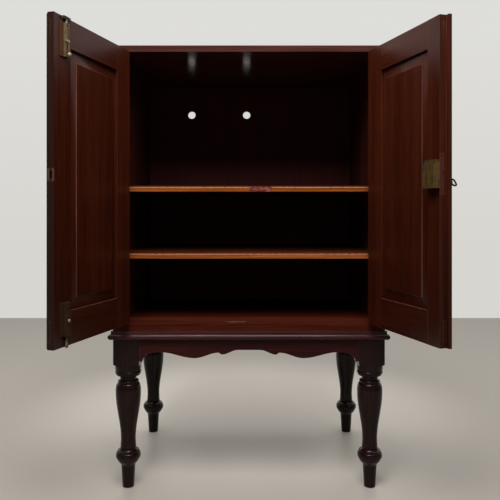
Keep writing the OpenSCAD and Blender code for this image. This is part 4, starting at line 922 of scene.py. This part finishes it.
# Each bolt's housing stands on a plate, and only housings, knobs and rod ends are rubbed bright. The bright top
# end of the bottom bolt's case is a painted highlight.
top_case, bottom_case = metal_finish["top_bolt_case"], metal_finish["bottom_bolt_case"]
plate_thick = 1.6 * mm
housing_from = reach("left_closing_stile", left_inward)[1] + plate_thick + 0.2 * mm
rub_above(top_case, left_inward, housing_from, 0.4 * mm, 0.55)
rub_above(top_case, left_inward, reach("top_bolt_case", left_inward)[1] - 0.3 * mm, 0.2 * mm, 0.8)
rub_above(bottom_case, left_inward, housing_from, 0.4 * mm, 0.3)
# A painted highlight along the top end of the bottom case.
rub_above(bottom_case, up, reach("bottom_bolt_case", up)[1] - 1.2 * mm, 0.6 * mm, 0.6)
for bolt, rod_end, amount in (("top", up, 0.9), ("bottom", down, 0.62)):
    rod, case = metal_finish[bolt + "_bolt_rod"], bolt + "_bolt_case"
    rub_above(rod, left_inward, reach(case, left_inward)[1] - 0.4 * mm, 0.3 * mm, 1.0)
    rub_above(rod, rod_end, reach(case, rod_end)[1] - 1 * mm, 2 * mm, amount)
print("the housings stand", round(plate_thick / mm, 1), "mm off the door")

# %% Bolts, lock and hinges
# The top housing is dark in its slot, from 12 to 26 mm over its foot, and in its sight hole.
rod_middle = sum(reach("top_bolt_rod", left_outward)) / 2
slot_half = 2.3 * mm
slot_width = (left_outward, rod_middle - slot_half, rod_middle + slot_half)
case_low, case_high = reach("top_bolt_case", up)
slot_height = (up, case_low + 12 * mm, case_low + 26 * mm)
hole_height = (up, case_high - 7.3 * mm, case_high - 2.7 * mm)
for height in (slot_height, hole_height):
    tarnish_box(top_case, [slot_width, height], 1.6)

# The lock is rubbed on its half beside the door's edge, and dark along its top.
right_outward = (-math.cos(right_open), -math.sin(right_open), 0.0)
right_front = (math.sin(right_open), -math.cos(right_open), 0.0)
lock_low, lock_high = reach("lock_cap", right_outward)
rubbed_from = lock_low + 0.55 * (lock_high - lock_low)
rub_above(metal_finish["lock_cap"], right_outward, rubbed_from, 3 * mm, 0.2)
rub_above(metal_finish["lock_cap"], up, reach("lock_case", up)[1] - 7 * mm, 5 * mm, -0.5)

# The keep plate is dark in its thickness and bright again at its inner edge.
keep_low, keep_high = reach("keep_plate", left_inward)
for share, amount in ((0.2, -0.6), (0.75, 0.6)):
    level = keep_low + share * (keep_high - keep_low)
    rub_above(metal_finish["keep_plate"], left_inward, level, 0.6 * mm, amount)

metal_of = {name: name for name in metals if name in frame["nodes"] and name != "key"}
metal_of["lock_case"] = "lock_cap"
metal_of.update((node, "hinge") for node in frame["nodes"] if node.startswith("hinge_"))
for node, metal in metal_of.items():
    frame["nodes"][node].data.materials.clear()
    frame["nodes"][node].data.materials.append(metal_finish[metal])
print("dressed", len(metal_of), "metal pieces")

# %% [markdown]
# ## The key
# The key has an oval bow of thick iron wire on its stem, and it stays in the lock. The bow could be
# a curve with a round section, but then it would have to meet the CAD stem without a seam. So the
# CAD key is copied whole, and the points of its bow move outwards along their normals, which makes
# the wire thicker and leaves the stem and the bit as they are.

# %% The key
bow_depth, bow_swell = 11 * mm, 0.4 * mm
full_key = mesh_object("full_key", merged_copy("key"), metal_finish["key"])
key_points, key_normals = points_of(full_key.data), points_of(full_key.data, "normal")
key_front = key_points @ np.array(right_front)
bow_points = key_front > key_front.max() - bow_depth
key_points[bow_points] += bow_swell * key_normals[bow_points]
full_key.data.vertices.foreach_set("co", key_points.ravel())
finish_piece(full_key, "key")
print("the key's bow has", int(bow_points.sum()), "points")

# %% [markdown]
# ## Slotted screws
# Each screw has a countersunk head with a sawn slot, and no two slots point the same way. The CAD
# screws are plain cones on shanks. A Boolean cut would make the slots too, but one surface can hold
# the whole screw: its columns run from the middle of the head over the rim and down to the point,
# and the columns that lie in the slot are simply lower. Each screw's place, way and size are
# measured on the CAD screw it stands in for.

# %% One screw
def slotted_screw(length, head_r, shank_r):
    """Rings round Z of a radius and a height; slot columns keep to the slot's width and are deeper.

    The slot's columns lie within arcsin(slot half / radius) of its line, so its sides are parallel
    on the head. From the shank down, the columns keep the angles that they have at the rim.
    """
    slot_half, slot_low = 0.14 * head_r, 0.35 * head_r
    rim, shank = 4, 6
    ring_r, ring_z = np.array([
        (slot_half, 0), (slot_half, 0), (0.6 * head_r, 0), (0.94 * head_r, 0),
        (head_r, -0.06 * head_r), (head_r - slot_low, -slot_low), (shank_r, shank_r - head_r),
        (shank_r, 2.5 * shank_r - length), (0.3 * shank_r, -length),
    ]).T
    open_r = np.minimum(ring_r, head_r - slot_low)
    half_angle = np.arcsin(np.clip(slot_half / np.maximum(ring_r, slot_half), 0, 1))
    half_angle[shank:] = half_angle[rim]
    slot_t, land_t = np.linspace(-1, 1, 5), np.linspace(0, 1, 10)
    pieces = []
    for turn in (0, np.pi):
        slot_a = turn + half_angle[:, None] * slot_t
        land_a = turn + half_angle[:, None] + (np.pi - 2 * half_angle[:, None]) * land_t
        slot_z = np.repeat(np.minimum(ring_z, -slot_low)[:, None], len(slot_t), axis=1)
        land_z = np.repeat(ring_z[:, None], len(land_t), axis=1)
        land_z[0] = -slot_low
        for angle, height, radius in ((slot_a, slot_z, open_r), (land_a, land_z, ring_r)):
            x, y = radius[:, None] * np.cos(angle), radius[:, None] * np.sin(angle)
            pieces.append(np.stack((x, y, height), axis=-1))
    body = np.concatenate(pieces, axis=1)
    points = np.vstack((body.reshape(-1, 3), [(0, 0, -slot_low), (0, 0, -length)]))
    return points, *ring_faces(*body.shape[:2], downward=True)


print("one screw has", len(slotted_screw(20 * mm, 4 * mm, 2 * mm)[0]), "points")


# %% Where the CAD screws are
def loose_parts(mesh):
    """The points of each loose part, found by spreading the lowest point number along the edges."""
    edges = np.empty(len(mesh.edges) * 2, int)
    mesh.edges.foreach_get("vertices", edges)
    edges = edges.reshape(-1, 2)
    label = np.arange(len(mesh.vertices))
    while True:
        lower = label[edges].min(axis=1)
        before = label.copy()
        np.minimum.at(label, edges[:, 0], lower)
        np.minimum.at(label, edges[:, 1], lower)
        if (label == before).all():
            break
    return [points_of(mesh)[label == part] for part in np.unique(label)]


def screw_frame(points):
    """Head centre, outward way, length, head and shank radius of one CAD screw."""
    middle = points.mean(axis=0)
    way = np.linalg.svd(points - middle)[2][0]
    along = (points - middle) @ way
    out = np.linalg.norm(points - middle - along[:, None] * way, axis=1)
    if out[along > along.mean()].max() < out[along < along.mean()].max():
        way, along = -way, -along
    centre_line = points - along[:, None] * way
    centre = (centre_line.max(axis=0) + centre_line.min(axis=0)) / 2 + along.max() * way
    out = np.linalg.norm(points - centre - ((points - centre) @ way)[:, None] * way, axis=1)
    return centre, way, along.max() - along.min(), out.max(), out[along < along.max() - 1e-5].min()


slot_turns = np.random.default_rng(7)


def slotted_screws(node):
    """Puts a slotted screw in the place of each loose part of a CAD screw node."""
    merged = merged_copy(node)
    parts = loose_parts(merged)
    bpy.data.meshes.remove(merged)
    all_points, all_faces, start = [], [], 0
    for part in parts:
        centre, way, length, head_r, shank_r = screw_frame(part)
        points, sides, fans = slotted_screw(length, head_r, shank_r)
        turn = Vector(way).to_track_quat("Z", "Y").to_matrix()
        turn = np.array(turn @ Matrix.Rotation(slot_turns.uniform(0, math.pi), 3, "Z"))
        all_points.append(points @ turn.T + centre)
        all_faces += (sides + start).tolist() + (fans + start).tolist()
        start += len(points)
    mesh = new_mesh("slotted_" + node, np.vstack(all_points), all_faces)
    work = bmesh.new()
    work.from_mesh(mesh)
    bmesh.ops.remove_doubles(work, verts=work.verts, dist=1e-7)
    bmesh.ops.recalc_face_normals(work, faces=work.faces)
    work.to_mesh(mesh)
    work.free()
    metal = metal_finish["door_screw" if "door" in node else "screw"]
    finish_piece(mesh_object("slotted_" + node, mesh, metal), node)
    return len(parts)


screw_nodes = [node for node in frame["nodes"] if node.endswith("_screws")]
print("cut slots in", sum(slotted_screws(node) for node in screw_nodes), "screws")
